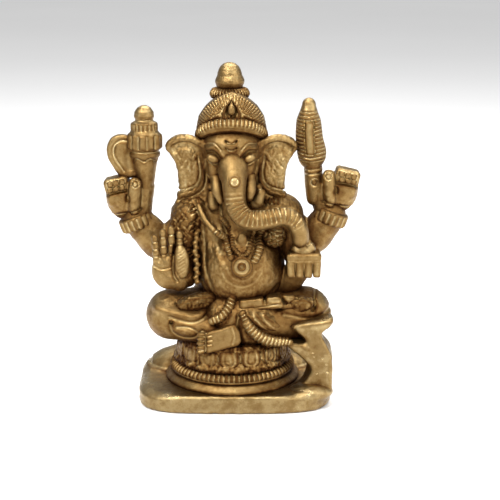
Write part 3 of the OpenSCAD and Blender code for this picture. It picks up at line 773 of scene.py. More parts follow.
def left_leg():
    """The folded left leg, with rough cloth over the knee and a crack across it."""
    clay = Clay("left_leg", merged(thigh_shapes(1), 1.2), pitch=0.18)
    clay.facing(WAIST, WAIST[1] - 1)
    clay.draw([(20.9, 6.8), (17.6, 5.6), (14.0, 5.8), (10.6, 6.6)], 0.45, -0.42)
    clay.draw([(10.2, 7.4), (12.6, 8.6), (15.4, 9.8), (17.4, 10.0)], 0.7, 0.35)
    clay.draw([(17.6, 11.0), (17.3, 9.4), (17.6, 8.4), (16.9, 7.2)], 0.28, -0.7)
    clay.dimple((17.1, 7.6), (0.6, 0.45), -0.5)
    clay.weld([belly_form()])
    clay.trim(lambda x, y, z: SEAT[2] - 0.3 - z)

    def scored(points):
        u, w = points[:, 0] - WAIST[0] - 14.4, points[:, 2] - WAIST[2] - 8.2
        return 0.2 * bell(u, 2.8) * bell(w, 2.0)
    cast(clay, rough=0.05, crumple=scored)


def lap_cloth():
    """The cloth between the legs, with pleats that curve down from the middle to the left."""
    shapes = [egg(body(2.4, -6.5, 4.6), (8.4, 5.6, 6.4)), egg(body(-2.6, -5.8, 5), (5, 5.4, 6))]
    clay = Clay("lap_cloth", merged(shapes, 1.5))
    clay.facing(WAIST, WAIST[1] - 3)
    for lift in (0, 1, 2):
        fold = [(2.6 + 1.9 * lift, 7.4 - 0.2 * lift), (4.8 + 1.7 * lift, 5.2 + 0.1 * lift),
                (7.6 + 1.2 * lift, 3.5 + 0.5 * lift), (11.4 + 0.8 * lift, 2.2 + 1.1 * lift)]
        clay.draw(fold, 0.55, 0.75)
        clay.draw([(x - 0.5, z - 0.85) for x, z in fold], 0.26, -0.35)
    clay.draw([(0.4, 7.0), (0.0, 4.6), (0.2, 1.6)], 0.4, -0.5)
    clay.draw([(1.2, 6.6), (0.9, 3.6), (1.6, 0.8)], 0.45, 0.35)
    clay.draw([(-1.4, 7.2), (-2.6, 5.6), (-4.4, 4.8)], 0.4, 0.3)
    clay.trim(lambda x, y, z: SEAT[2] + 0.05 - z)
    cast(clay, rough=0.06, crumple=lambda p: 0.1)


def left_foot():
    """A flat slab of a foot, with a wavy upper edge and five stubby toes towards the figure's right."""
    p = local(WAIST)
    sole = [(-0.4, 5.2), (0.7, 3.6), (1.0, 1.4), (0.2, 0.4), (-4.2, -0.9), (-7.4, -1.7), (-8.6, -1.2),
            (-8.7, 2.9), (-7.8, 3.9), (-6.4, 3.5), (-5.2, 3.9), (-3.6, 4.2), (-2.2, 4.9)]
    shape = slab([(WAIST[0] + x, WAIST[2] + z) for x, z in sole], -12.7, -9.4, 0.6)
    clay = Clay("left_foot", swept(shape, -0.06, 0.05, p(-4, -11, 1.5)), pitch=0.13)
    for i in range(5):
        z = -1.05 + 1.02 * i
        clay.add(egg(p(-8.0 + 0.06 * i, -12.35, z), (1.05, 0.62, 0.5), (0, 4, 0)), 0.1)
        clay.add(egg(p(-8.5 + 0.06 * i, -12.5, z + 0.04), (0.5, 0.5, 0.42)), 0.1)
    clay.facing(WAIST, WAIST[1] - 9)
    clay.draw([(-7.0, -1.6), (-6.9, 0.2), (-6.95, 2.0), (-6.7, 3.4)], 0.2, -0.4)
    for i in range(3):
        clay.draw([(-8.6, 0.5 + 1.0 * i), (-6.8, 0.55 + 1.0 * i), (-5.6, 0.7 + 1.0 * i)], 0.15, -0.22)
    clay.draw([(-1.0, 4.6), (-0.5, 2.6), (-0.9, 1.0)], 0.3, -0.2)
    cast(clay)


def right_foot():
    """The right foot lies on the left thigh as a smooth bar with two notches, its toes at the knee end."""
    p = local(WAIST)
    clay = Clay("right_foot", block(p(5.4, -8.9, 9.4), (5.0, 1.9, 1.4), 0.6, turn=(0, -5, 4)), pitch=0.14)
    for i in range(4):
        clay.add(limb(p(10.0, -8.9, 8.6 + 0.62 * i), 0.75, p(13.0 - 0.2 * i, -8.2, 8.2 + 0.72 * i), 0.6), 0.2)
    clay.facing(WAIST, WAIST[1] - 6)
    clay.dimple((6.2, 10.3), (0.42, 0.95), -0.8)
    clay.draw([(9.7, 11.4), (10.2, 10.2), (11.0, 9.2)], 0.3, -0.75)
    clay.draw([(0.7, 8.4), (5.0, 8.7), (9.0, 9.3)], 0.2, -0.2)
    clay.draw([(6.6, 10.0), (8.2, 9.7), (9.6, 9.8)], 0.3, 0.2)
    cast(clay)


def rope(node, path, slant):
    """A cord with slanted ribs along it."""
    def twist(along, nx, ny, nz):
        return 0.17 * ribs(2 * math.pi * along / TWIST_PITCH + slant * (nz - nx), 1.7)
    clay = Clay(node, tube(path, twist), pitch=0.13)
    cast(clay)


def sashes():
    """The two twisted ends of the waist cloth."""
    right = [(-1.1, -9.3, 10.4, 0.95), (-1.9, -10.3, 8.4, 1.1), (-3.5, -11.0, 6.7, 1.1),
             (-5.6, -11.2, 5.7, 0.85)]
    left = [(1.3, -11.0, 7.3, 0.9), (2.6, -11.8, 4.9, 1.3), (4.6, -12.3, 2.9, 1.35), (7.4, -12.2, 1.5, 1.25),
            (11.6, -10.9, 0.8, 0.8)]
    for node, way, slant in (("right_sash", right, 1.2), ("left_sash", left, -1.2)):
        rope(node, [(*body(x, y, z), r) for x, y, z, r in way], slant)


def drape(node, at, size, turn):
    """A leaf-shaped patch of scored cloth on the thigh, with a raised edge."""
    clay = Clay(node, egg(at, size, turn))
    clay.facing(at, at[1] + 0.5)
    c, s = math.cos(math.radians(turn[1])), math.sin(math.radians(turn[1]))
    width, height = 0.82 * size[0], 0.78 * size[2]
    ring = [(width * math.cos(a), height * math.sin(a)) for a in np.linspace(0, 2 * math.pi, 15)]
    clay.draw([(u * c + w * s, w * c - u * s) for u, w in ring], 0.3, 0.3)
    clay.dimple((0, 0), (size[0] * 0.6, size[2] * 0.5), -0.3, turn=-turn[1])
    cast(clay, "dark_brass", 0.05, crumple=lambda p: 0.22)


def drapes():
    drape("right_thigh_drape", body(-8.9, -6.7, 9.0), (5.0, 3.1, 1.9), (-25, -12, 8))
    drape("left_thigh_drape", body(13.2, -7.0, 8.3), (4.2, 2.6, 2.0), (-25, -12, -8))


# ---------------------------------------------------------------- arms

def right_upper_arm():
    path = [(*right_shoulder(-0.6, -2.2, 0.2), 3.9), (*right_shoulder(-2.6, -2.6, -5.0), 3.6),
            (*right_shoulder(-2.8, -2.8, -9.4), 3.2), (*right_hand(3.4, 2.2, -1.8), 2.8)]
    clay = Clay("right_upper_arm", tube(path), pitch=0.16)
    clay.facing(RIGHT_SHOULDER, RIGHT_SHOULDER[1] + 0.5)
    clay.draw([(1.4, 2.0), (0.6, -2.6), (0.9, -7.0), (0.6, -12)], 0.4, -0.45)
    rng = np.random.default_rng(SEED + 1)
    places = [(rng.uniform(-4.2, 0.8), rng.uniform(-8.0, 3.4), rng.choice((0.5, 1.1, 2.3)))
              for _ in range(44)]
    clay.strokes(places, 0.65, 0.2, -0.26)
    clay.weld([belly_form()])
    cast(clay, "dark_brass", rough=0.06, crumple=lambda p: 0.12)


def left_upper_arm():
    path = [(*left_shoulder(-0.4, -2.2, 0.2), 3.9), (*left_shoulder(2.4, -2.5, -3.4), 3.7),
            (*left_shoulder(3.9, -2.7, -7.4), 3.5), (*left_hand(-0.4, 2.6, -0.4), 3.0)]
    clay = Clay("left_upper_arm", tube(path), pitch=0.18, margin=4.6)
    # the flank under the forearm, down to the thigh
    clay.add(limb(left_hand(-1.7, 3.6, -3.0), 2.7, left_hand(-4.2, 5.6, -6.8), 3.2), 1.4)
    clay.weld([belly_form()])
    cast(clay, rough=0.06)


def rear_arm(node, side, shoulder, wrist, elbow, elbow_radius):
    forearm = 0.45 * elbow + 0.55 * wrist + (0.5 * side, 0, 0)
    path = [(*shoulder, 4.0), (*elbow, elbow_radius), (*forearm, 3.75), (*wrist, 3.3)]
    clay = Clay(node, tube(path), pitch=0.18)
    clay.weld([girdle_form()], 1.2)
    cast(clay, rough=0.06)


def rear_arms():
    middle = (RIGHT_SHOULDER + RIGHT_WRIST) / 2
    rear_arm("rear_right_arm", -1, right_shoulder(0.6, 2.4, -1), RIGHT_WRIST,
             np.array([middle[0] - 0.2, 1.2, RIGHT_SHOULDER[2] - 6.7]), 4.0)
    middle = (LEFT_SHOULDER + LEFT_WRIST) / 2
    rear_arm("rear_left_arm", 1, left_shoulder(-0.2, 2.4, -1), LEFT_WRIST,
             np.array([middle[0] + 0.8, 1.2, LEFT_SHOULDER[2] - 5.4]), 3.9)


def bracelet(node, side):
    """A band of uneven flutes round the wrist."""
    at = centre(node)
    profile = [(2.4, -1.7), (3.55, -1.6), (3.8, -1.2), (3.85, 0.0), (3.8, 1.0), (3.6, 1.5), (2.4, 1.7)]

    def flutes(angle, up, out):
        zone = step(up, -1.6, -1.1) * (1 - step(up, 0.9, 1.35)) * step(out, 2.8, 3.3)
        rim = bell(up - 1.3, 0.22)
        uneven = 17 * angle + 0.5 * np.sin(3 * angle)
        return (0.2 * ribs(uneven, 1.4) * zone + 0.16 * rim) * step(out, 2.6, 3.2)
    cast(Clay(node, placed(turned((0, 0, 0), profile, flutes), at, (0, 21 * side, 0)), pitch=0.14))


def bracelets():
    for side, name in SIDES:
        bracelet("rear_" + name + "_bracelet", side)


def fist(node, side, wrist, shift, staff):
    """A closed hand beside a staff: two rows of square knuckles, and a thumb upright in front."""
    p = local(wrist + shift)
    reach = centre(staff)[0] - wrist[0] - shift[0]
    shapes = [egg(p(0.6 * side, 0.4, -1.0), (3.5, 2.5, 4.4)),
              egg(p(-0.8 * side, 0.2, -2.2), (3.3, 2.5, 3.6)),
              block(p(1.3 * side, 0.0, 1.2), (2.8, 2.5, 3.0), 0.9, turn=(0, 14 * side, 0)),
              limb(p(-3.4 * side, 0.2, -4.6), 2.5, p(reach, 0.3, 1.8), 2.1)]
    clay = Clay(node, merged(shapes, 1.2), pitch=0.13)
    clay.facing(wrist + shift, wrist[1], side)
    for row in range(2):
        for k in range(3):
            at = p(side * (0.3 + 1.35 * k), -2.35, 3.35 - 1.35 * row - 0.32 * k)
            clay.add(block(at, (0.62, 0.75, 0.62), 0.3, turn=(0, 14 * side, 0)), 0.1)
    clay.draw([(-0.6, 1.3), (1.6, 0.9), (4.0, 0.2)], 0.3, -0.7)
    clay.add(limb(p(-2.2 * side, -1.9, -3.0), 1.5, p(-2.6 * side, -2.3, 2.8), 1.5), 0.3)
    clay.dimple((-0.9, -0.4), (0.5, 0.9), -0.7)
    clay.dimple((-2.7, 3.0), (0.72, 0.78), 0.08, rim=0.34)
    clay.draw([(-3.8, -3.0), (-1.0, -3.8), (3.0, -4.9)], 0.3, -0.5)
    cast(clay, rough=0.05, crumple=lambda p: 0.07)


def fists():
    fist("rear_right_fist", -1, RIGHT_WRIST, np.array([-2.5, -0.3, 5.6]), "axe_shaft")
    fist("rear_left_fist", 1, LEFT_WRIST, np.array([1.8, -0.3, 6.2]), "goad_handle")


def finger(clay, root, tip, ra, rb):
    """A straight finger with creases across its joints."""
    root, tip = np.array(root, float), np.array(tip, float)
    clay.add(limb(root, ra, tip, rb), 0.12)
    along = (tip - root) / np.linalg.norm(tip - root)
    across = np.array([along[2], 0, -along[0]]) * ra * 0.9
    clay.facing(np.zeros(3), root[1] + 1)
    for i in range(1, FINGER_JOINTS + 1):
        at = root + (tip - root) * (i / (FINGER_JOINTS + 0.6))
        clay.draw([(q[0], q[2]) for q in (at - across, at + across)], 0.2, -0.26)


def blessing_hand():
    """A raised hand with four beaded fingers, and a long flat thumb pad that is scratched."""
    p = local(RIGHT_HAND)
    shapes = [egg(p(-0.2, 0.2, -0.2), (3.9, 2.2, 4.3)), limb(p(0.2, 0.2, -1.5), 2.2, p(2.0, 1.2, -2.8), 2.4)]
    clay = Clay("blessing_hand", merged(shapes, 0.8), pitch=0.13)
    clay.cut(egg(p(-1.0, -2.6, 0.8), (2.2, 1.0, 2.6)), 0.8)
    tops = (8.3, 9.6, 10.3, 9.2)
    for i, top in enumerate(tops):
        finger(clay, p(-2.85 + 1.72 * i, -0.5, 1.6), p(-3.25 + 1.86 * i, -0.7, top - 0.75), 0.86, 0.74)
    clay.add(egg(p(2.7, -1.4, 2.2), (1.75, 1.3, 4.0), (0, -4, 0)), 0.2)
    clay.facing(RIGHT_HAND, RIGHT_HAND[1])
    for i in range(7):
        z = -0.6 + 0.8 * i
        clay.draw([(2.1, z), (3.4, z + 0.9)], 0.12, -0.1, curved=False)
    clay.draw([(1.0, 5.6), (0.8, 2.4), (0.9, -0.6), (1.7, -2.2)], 0.28, -0.5)
    clay.draw([(-3.4, 1.0), (-1.6, 0.4), (0.4, 0.9)], 0.2, -0.2)
    cast(clay)


def offering_hand():
    p = local(LEFT_HAND)
    shapes = [egg(p(0, 0.3, 0.4), (3.9, 2.8, 2.9)), block(p(0.1, -0.3, 2.1), (3.7, 2.6, 1.2), 0.8)]
    clay = Clay("offering_hand", merged(shapes, 0.8), pitch=0.14)
    clay.facing(LEFT_HAND, LEFT_HAND[1])
    for i in range(4):
        bow = abs(i - 1.5)
        x = -2.95 + 1.97 * i
        top, foot = p(x, -2.3 + 0.25 * bow, 2.4), p(0.97 * x, -2.2 + 0.3 * bow, -1.75 + 0.12 * bow)
        clay.add(block((top + foot) / 2, (0.86, 0.8, 2.7), 0.5, turn=(0, 1.5 * (i - 1.5), 0)), 0.1)
        clay.draw([(x - 0.8, 1.5), (x + 0.8, 1.6)], 0.18, -0.14)
    cast(clay)


def sweets():
    """A heap of round sweets in the palm."""
    p = local(LEFT_HAND)
    clay = Clay("sweets", egg(p(-0.1, -0.3, 3.6), (2.7, 2.3, 1.6)), pitch=0.13, margin=1.2)
    heap = [(-1.75, -1.1, 4.1), (-0.1, -1.7, 4.2), (1.5, -1.1, 4.1), (-1.0, -0.6, 5.1), (0.7, -0.7, 5.15),
            (-0.2, 0.2, 5.5), (-1.6, 0.7, 4.3), (1.4, 0.7, 4.3)]
    for i, (x, y, z) in enumerate(heap):
        clay.add(egg(p(x, y, z), (1.02, 0.95, 0.86 + 0.05 * (i % 3))), 0.1)
    cast(clay, "worn_brass", rough=0.1)


# ---------------------------------------------------------------- axe and goad

def axe_shaft():
    """The axe's staff: a knob, a collar and a fluted block above a tapering shaft that runs into the hand."""
    at, _, t = round_size("axe_shaft")
    profile = [(1.5, 0), (1.9, 0.1 * t), (2.3, 0.25 * t), (2.9, 0.4 * t), (3.2, t - 11.6), (3.45, t - 11.2),
               (3.45, t - 10.5), (3.05, t - 10.2), (3.65, t - 9.6), (3.6, t - 6.3), (3.2, t - 5.9),
               (2.95, t - 5.4), (2.9, t - 3.9), (2.2, t - 3.5), (1.95, t - 3.2), (2.25, t - 2.4),
               (2.1, t - 1.4), (1.5, t - 0.5), (0.6, t)]

    def flutes(angle, up, radius):
        lobes = step(up, t - 9.7, t - 9.3) * (1 - step(up, t - 6.7, t - 6.2))
        band = step(up, t - 5.6, t - 5.2) * (1 - step(up, t - 4.2, t - 3.8))
        ridge = grooves(up - t + 11.9 + 0.35 * np.cos(6 * angle), 20.0, 0.2)
        block_relief, band_relief = 0.34 * ribs(11 * angle + 0.6, 2.2), 0.13 * ribs(20 * angle, 1.4)
        return (block_relief * lobes + band_relief * band - 0.3 * ridge) * step(radius, 1.0, 2.4)
    cast(Clay("axe_shaft", turned(at, profile, flutes), pitch=0.14), rough=0.05)


def axe_blade():
    """A broad rounded blade, joined to the shaft all along its inner side."""
    low, high = low_corner("axe_blade"), high_corner("axe_blade")
    p = local(np.array([high[0], 0, (low[2] + high[2]) / 2]))

    def curve(rows):
        return smooth_path(flat(p(0, 0, 0), rows), 4)
    edge = [(1.0, 3.6), (-1.0, 4.3), (-3.4, 4.5), (-5.2, 3.5), (-6.0, 1.4), (-5.7, -0.8), (-4.7, -2.6),
            (-3.7, -4.2), (-2.4, -5.4), (-0.6, -5.2), (1.4, -4.6), (2.0, -1.0)]
    clay = Clay("axe_blade", slab(curve(edge), -1.3, 1.3, 0.7), pitch=0.13)
    inner = curve([(-0.6, 3.0), (-2.8, 3.2), (-4.2, 2.0), (-4.4, 0.2), (-3.5, -1.7), (-2.2, -3.6)])
    hollow = curve([(-0.6, 1.4), (-1.2, -0.8), (-0.8, -3.0)])

    def relief(x, y, z):
        face = step(np.abs(y), 0.3, 0.9)
        ridge = bell(line_distance(inner, x, z), 0.28)
        valley = bell(line_distance(hollow, x, z), 0.8)
        return (-0.36 * ridge - 0.5 * valley) * face
    clay.swell(relief)
    cast(clay, rough=0.05)


def goad_head():
    """A broad spear point with a plain outlined panel down its middle and notches along both sides."""
    low, high = low_corner("goad_head"), high_corner("goad_head")
    middle = (low + high) / 2
    p = local(np.array([middle[0], 0, high[2]]))
    shapes = [limb(p(-0.9, 0, -1.7), 1.55, p(-1.0, 0, -5.0), 2.25),
              egg(p(-0.9, 0, -8.2), (2.9, 1.9, 5.6)),
              egg(p(-0.1, 0, -12.4), (3.15, 1.9, 3.9)),
              limb(p(-0.9, 0, -6), 2.2, p(-0.2, 0, -13), 2.6)]
    clay = Clay("goad_head", merged(shapes, 1.2), pitch=0.13)
    top = high[2]

    def notches(x, y, z):
        down = top - z
        across = np.abs(x - middle[0] + 0.9 - 0.07 * np.maximum(down - 8, 0))
        face = step(np.abs(y), 0.2, 0.8)
        panel_zone = step(down, 4.9, 5.2) * (1 - step(down, 12.6, 12.9))
        panel = (1 - step(across, 0.85, 1.05)) * panel_zone
        zone = step(down, 2.6, 3.0) * (1 - panel) * (1 - step(down, 13.8, 14.4)) * face
        sides = bell(across - 1.05, 0.17) * panel_zone
        ends = (bell(down - 5.1, 0.18) + bell(down - 12.7, 0.18)) * (1 - step(across, 1.0, 1.2))
        cuts = (0.08 - 0.36 * grooves(down + 0.12 * across, 0.84, 0.17)) * zone
        return cuts - 0.36 * (sides + ends) * face + 0.08 * panel
    clay.swell(notches)
    clay.add(limb(p(0.2, -0.4, -13.6), 1.5, p(0.4, -0.6, -15.4), 1.3), 0.5)
    cast(clay, rough=0.04)


def goad_handle():
    low, high = low_corner("goad_handle"), high_corner("goad_handle")
    middle = (low + high) / 2
    path = [(middle[0] - 0.2, 0, high[2] - 1.6, 2.1), (middle[0] - 0.1, -0.1, middle[2], 2.0),
            (middle[0] + 0.1, -0.2, low[2] + 1.6, 1.8)]
    clay = Clay("goad_handle", tube(path), pitch=FINE)
    clay.facing(np.array([middle[0], 0, high[2]]), middle[1])
    across = (high[0] - low[0]) / 2 + 1
    for z in (-1.4, -2.4):
        clay.draw([(-across, z - 0.3), (across, z + 0.3)], 0.25, -0.25, curved=False)
    clay.dimple((0, -4.2), (0.7, 0.8), 0.05, rim=0.3)
    cast(clay)


# ---------------------------------------------------------------- head

def head_shapes():
    return [
        skull_form(),
        egg(head(0, -2.8, 1.6), (5.9, 4.1, 3.4)),
        egg(head(-3.7, -3.1, -2.9), (2.2, 3.0, 3.6), (0, 0, 12)),
        egg(head(3.9, -3.1, -2.9), (2.2, 3.0, 3.6), (0, 0, -12)),
        block(head(0.4, -5.6, -3.6), (3.1, 2.2, 2.3), 1.5, (-14, 0, 0)),
        limb(head(0, 0.6, -3), 5.2, head(0, 0.6, -9), 4.6),
    ]


def face():
    """The elephant's face: closed almond eyes under heavy lids, and two crescents on the forehead."""
    clay = Clay("head", merged(head_shapes(), 0.8), pitch=0.13)
    front = HEAD[1] - 3
    for side in (-1, 1):
        clay.facing(HEAD, front, side)
        clay.cut(egg(head(3.9 * side, -7.4, -0.6), (2.2, 1.35, 1.7), (0, -20 * side, 0)), 0.6)
        clay.add(egg(head(3.85 * side, -5.75, -1.0), (1.6, 1.25, 1.0), (0, -24 * side, 0)), 0.1)
        clay.draw([(5.3, -1.5), (3.9, -2.3), (2.5, -2.0)], 0.24, -0.35)
        clay.draw([(5.4, 0.4), (3.9, 0.55), (3.0, -0.1), (2.2, -1.3)], 0.22, -0.4)
        clay.draw([(5.4, 1.1), (3.9, 1.4), (2.9, 0.8), (2.0, -0.5)], 0.42, 0.55)
        clay.draw([(5.6, 1.9), (4.2, 2.3), (3.3, 2.0), (2.4, 1.0)], 0.28, -0.35)
        clay.draw([(5.7, -1.8), (5.2, -4.4), (4.6, -6.4)], 0.4, -0.3)
        clay.draw([(2.7, -2.8), (2.9, -4.6), (2.6, -6.4)], 0.35, -0.25)
    clay.facing(HEAD, front)
    for level in (2.95, 1.45):
        arc = [(-1.2, level), (-0.7, level - 0.45), (0, level - 0.6), (0.7, level - 0.45), (1.2, level)]
        clay.draw(arc, 0.17, -0.4)
        for x in (-1.05, 1.05):
            clay.dimple((x, level - 0.05), (0.32, 0.22), -0.35)
    clay.dimple((0.1, -0.7), (1.3, 0.6), -0.3)
    clay.weld(torso_shapes()[1:2], 1.2)
    cast(clay, rough=0.03)


TRUNK_WAY = [(0.3, -5.4, -2.4, 3.0), (0.6, -7.6, -5.4, 2.75), (0.75, -8.7, -8.6, 2.4),
             (1.3, -9.3, -11.3, 2.3), (3.0, -9.8, -13.4, 2.25), (5.6, -9.9, -13.9, 2.2),
             (8.6, -9.8, -13.5, 2.12), (11.4, -9.4, -13.1, 2.05), (13.6, -8.8, -14.2, 2.0),
             (14.9, -8.2, -16.4, 1.95), (15.2, -7.6, -18.4, 1.85)]


def trunk():
    """The trunk hangs, turns to the figure's left and dips into the sweets. Lines are cut across it."""
    def wrinkles(along, nx, ny, nz):
        facing = step(-0.18 * nx - 0.80 * ny + 0.55 * nz, 0.42, 0.62)
        zone = step(along, 6.2, 6.6) * (1 - step(along, 24.5, 25.5))
        return -0.4 * grooves(along, TRUNK_PITCH, 0.13) * facing * zone
    clay = Clay("trunk", tube([(*head(x, y, z), r) for x, y, z, r in TRUNK_WAY], wrinkles), pitch=0.11)
    clay.weld(head_shapes()[4:5], 1.0)
    cast(clay, rough=0.03)


def trunk_roundel():
    at = centre("trunk_roundel")
    profile = [(0.9, -1.6), (1.3, -1.0), (1.32, 0.15), (1.1, 0.42), (0.9, 0.42), (0.78, 0.24), (0.5, 0.3),
               (0.2, 0.34)]
    shape = placed(turned((0, 0, 0), profile), at + (0, -0.35, -0.1), (72, 0, 0))
    cast(Clay("trunk_roundel", shape, pitch=0.1), rough=0.02)


def tusks():
    right = [(*head(-3.4, -4.8, -5.6), 1.2), (*head(-3.1, -6.6, -7.9), 1.2), (*head(-2.3, -7.6, -10.0), 0.7)]
    left = [(*head(4.0, -4.8, -5.6), 1.25), (*head(4.2, -6.6, -7.6), 1.2), (*head(3.9, -7.4, -9.4), 0.8)]
    for node, path in (("right_tusk", right), ("left_tusk", left)):
        cast(Clay(node, tube(path), pitch=0.12).weld(head_shapes()[2:4], 0.5), rough=0.03)


def ear(node, side):
    """A fan-shaped ear: a rolled rim that curls to a tip, a scratched panel and banded lower edges."""
    about = head(0, -2.0, 0)
    edge = smooth_path([(4.6, 1.4), (6.6, 1.9), (8.0, 2.8), (9.6, 3.4), (11.2, 3.5), (12.8, 3.0), (14.2, 1.9),
                        (14.6, 0.2), (13.6, -1.2), (12.5, -3.2), (12.0, -6.0), (11.9, -8.6), (12.2, -10.6),
                        (12.4, -12.6), (8.6, -13.2), (5.2, -11.8), (4.4, -5.0)], 3)
    outline = flat(HEAD, [(side * x, z) for x, z in edge])
    plate = swept(slab(outline, about[1] - 1.0, about[1] + 1.3, 0.8), 0.17 * side, 0, about)
    clay = Clay(node, plate, pitch=0.14, margin=1.0)
    rim = [(5.6, -2.1, 1.2, 0.9), (7.8, -1.9, 2.2, 0.95), (10.2, -1.4, 2.75, 0.95), (12.4, -0.8, 2.2, 0.9),
           (13.9, -0.2, 0.9, 0.8), (13.2, -0.3, -0.8, 0.5)]
    clay.add(tube([(*head(side * x, y, z), r) for x, y, z, r in rim]), 0.3)
    clay.facing(HEAD, HEAD[1] + 3, side)
    clay.draw([(6.6, -1.8), (7.6, 0.2), (9.4, 1.2), (11.4, 1.1), (12.9, 0.0)], 0.85, -0.5)
    rng = np.random.default_rng(SEED + 5)
    places = zip(rng.uniform(7.8, 12.0, 26), rng.uniform(-7.8, -0.8, 26), rng.uniform(0.8, 2.6, 26))
    clay.strokes(places, 0.75, 0.22, -0.1)
    clay.draw([(7.4, -1.4), (6.9, -5.0), (8.0, -7.8), (11.8, -9.2)], 0.32, -0.48)
    clay.draw([(6.4, -2.0), (6.2, -5.8), (7.8, -8.6), (11.8, -10.2)], 0.5, 0.45)
    clay.draw([(5.7, -4.6), (5.9, -7.8), (7.9, -9.9), (11.8, -11.4)], 0.3, -0.35)
    clay.weld([skull_form(), girdle_form()], 1.2)
    cast(clay, rough=0.05, crumple=lambda p: 0.13)


def ears():
    for side, name in SIDES:
        ear(name + "_ear", side)


def ear_drop(node):
    """A leaf-shaped drop that hangs below the ear, with a small knob above it."""
    at = centre(node)
    leaf = limb(at + (0.2, -0.8, 0.5), 0.85, at + (0.5, -1.0, -2.0), 1.2)
    if at[0] > HEAD[0]:
        leaf = limb(at + (0.5, -0.8, 0.7), 1.1, at + (-0.4, -1.0, -1.2), 1.5)
    clay = Clay(node, leaf, pitch=0.12, margin=1.2)
    clay.add(egg(at + (0, -0.3, 2.2), (0.8, 1.4, 0.75)), 0.2)
    cast(clay, rough=0.04)


def ear_drops():
    for _, name in SIDES:
        ear_drop(name + "_ear_drop")


# ---------------------------------------------------------------- crown

def dome_form():
    return egg(DOME, DOME_SIZE)


def crown_cap():
    """The dome of the crown, ribbed from its ring down the sides and back."""
    clay = Clay("crown_cap", dome_form(), pitch=0.16)
    clay.trim(above_crown_edge(-0.2))

    def flutes(x, y, z):
        angle = np.arctan2(x - DOME[0], y - DOME[1])
        height = (z - DOME[2]) / DOME_SIZE[2]
        zone = (1 - step(height, 0.72, 0.84)) * step(height, -0.35, -0.1)
        return 0.2 * (ribs(38 * angle, 1.5) - 0.4) * zone - 0.3 * bell(height - 0.78, 0.035)
    clay.swell(flutes)
    cast(clay)


def crown_band():
    profile = [(5.6, -1.35), (7.2, -1.3), (7.95, -0.8), (8.1, 0.0), (7.9, 0.8), (7.2, 1.3), (5.6, 1.35)]

    def flutes(angle, height, radius):
        zone = step(height, -1.1, -0.7) * (1 - step(height, 0.85, 1.2)) * step(radius, 6.6, 7.2)
        return 0.17 * (ribs(54 * angle, 1.6) - 0.3) * zone
    band = placed(turned((0, 0, 0), profile, flutes), BAND, (-CROWN_TILT, 0, 0))
    clay = Clay("crown_band", band, pitch=0.14)
    clay.weld([dome_form()], 0.4)
    cast(clay)


def above_crown_edge(lift):
    """Trims away what lies below the crown's tilted lower edge, raised by lift."""
    tilt = math.radians(CROWN_TILT)

    def below(x, y, z):
        return lift - (z - BAND[2]) * math.cos(tilt) - (y - BAND[1]) * math.sin(tilt)
    return below


def crown_front():
    """The pointed front of the crown: a hatched border that rises to a point over a framed drop."""
    side = [(7.6, 3.2), (7.55, 6.0), (7.2, 7.6), (6.45, 8.8), (5.5, 10.0), (4.2, 11.1), (2.6, 12.1),
            (1.1, 12.8)]
    arch = [(-x, z) for x, z in side] + [(0, 13.1)] + side[::-1]
    outline = np.array(flat(HEAD, arch))
    shell = egg(DOME, (8.05, 7.7, 11.0))

    def field(x, y, z):
        edge = polygon_distance(outline, x, z)
        return np.maximum(np.maximum(shell.field(x, y, z), edge), y - HEAD[1] - 0.5)
    low = np.array([HEAD[0] - 7.6, shell.low[1], HEAD[2] + 3])
    high = np.array([HEAD[0] + 7.6, HEAD[1] + 0.5, HEAD[2] + 13.1])
    clay = Clay("crown_front", Shape(low, high, field), pitch=0.12)
    clay.trim(above_crown_edge(0.9))

    def relief(x, y, z):
        depth = -polygon_distance(outline, x, z)
        angle = np.arctan2(x - HEAD[0], z - HEAD[2] - 4.6)
        border = step(depth, 0.0, 0.3) * (1 - step(depth, 2.0, 2.3))
        inner = step(depth, 2.1, 2.5)
        return (0.14 - 0.34 * grooves(angle, 0.092, 0.018)) * border - 0.3 * inner
    clay.swell(relief)
    clay.facing(HEAD, HEAD[1] - 2)
    pocket = [(0.1, 11.8), (-0.9, 10.4), (-1.7, 8.8), (-1.5, 7.7), (1.7, 7.7), (1.9, 8.8), (1.1, 10.4),
              (0.1, 11.8)]
    clay.draw(pocket, 0.3, 0.5, curved=False)
    clay.dimple((0.1, 9.4), (1.1, 2.0), -0.5)
    for side in (-1, 1):
        for lift in (0, 1.1):
            clay.draw([(side * (4.6 - lift), 7.4 + lift), (side * (2.9 - 0.5 * lift), 8.2 + lift)], 0.2, 0.3,
                      curved=False)
    clay.weld([dome_form()], 0.4)
    cast(clay)


def crown_jewel():
    at = centre("crown_jewel")
    clay = Clay("crown_jewel", egg(at + (0, 0.1, -0.35), (0.78, 0.95, 1.15)), pitch=0.1, margin=1.0)
    clay.add(limb(at + (0, 0.1, -0.2), 0.6, at + (0, 0.5, 1.35), 0.15), 0.2)
    cast(clay, rough=0.02)


def crown_ring():
    at, radius, height = round_size("crown_ring")
    profile = [(radius - 1.2, 0), (radius - 0.35, 0.12 * height), (radius, 0.42 * height),
               (radius - 0.1, 0.6 * height), (radius - 0.5, 0.88 * height), (radius - 1.3, height)]

    def twist(angle, up, out):
        zone = step(out, radius - 1.6, radius - 0.9)
        return 0.2 * (ribs(34 * angle + 1.5 * up, 1.5) - 0.2) * zone
    cast(Clay("crown_ring", turned(at, profile, twist), pitch=0.13))


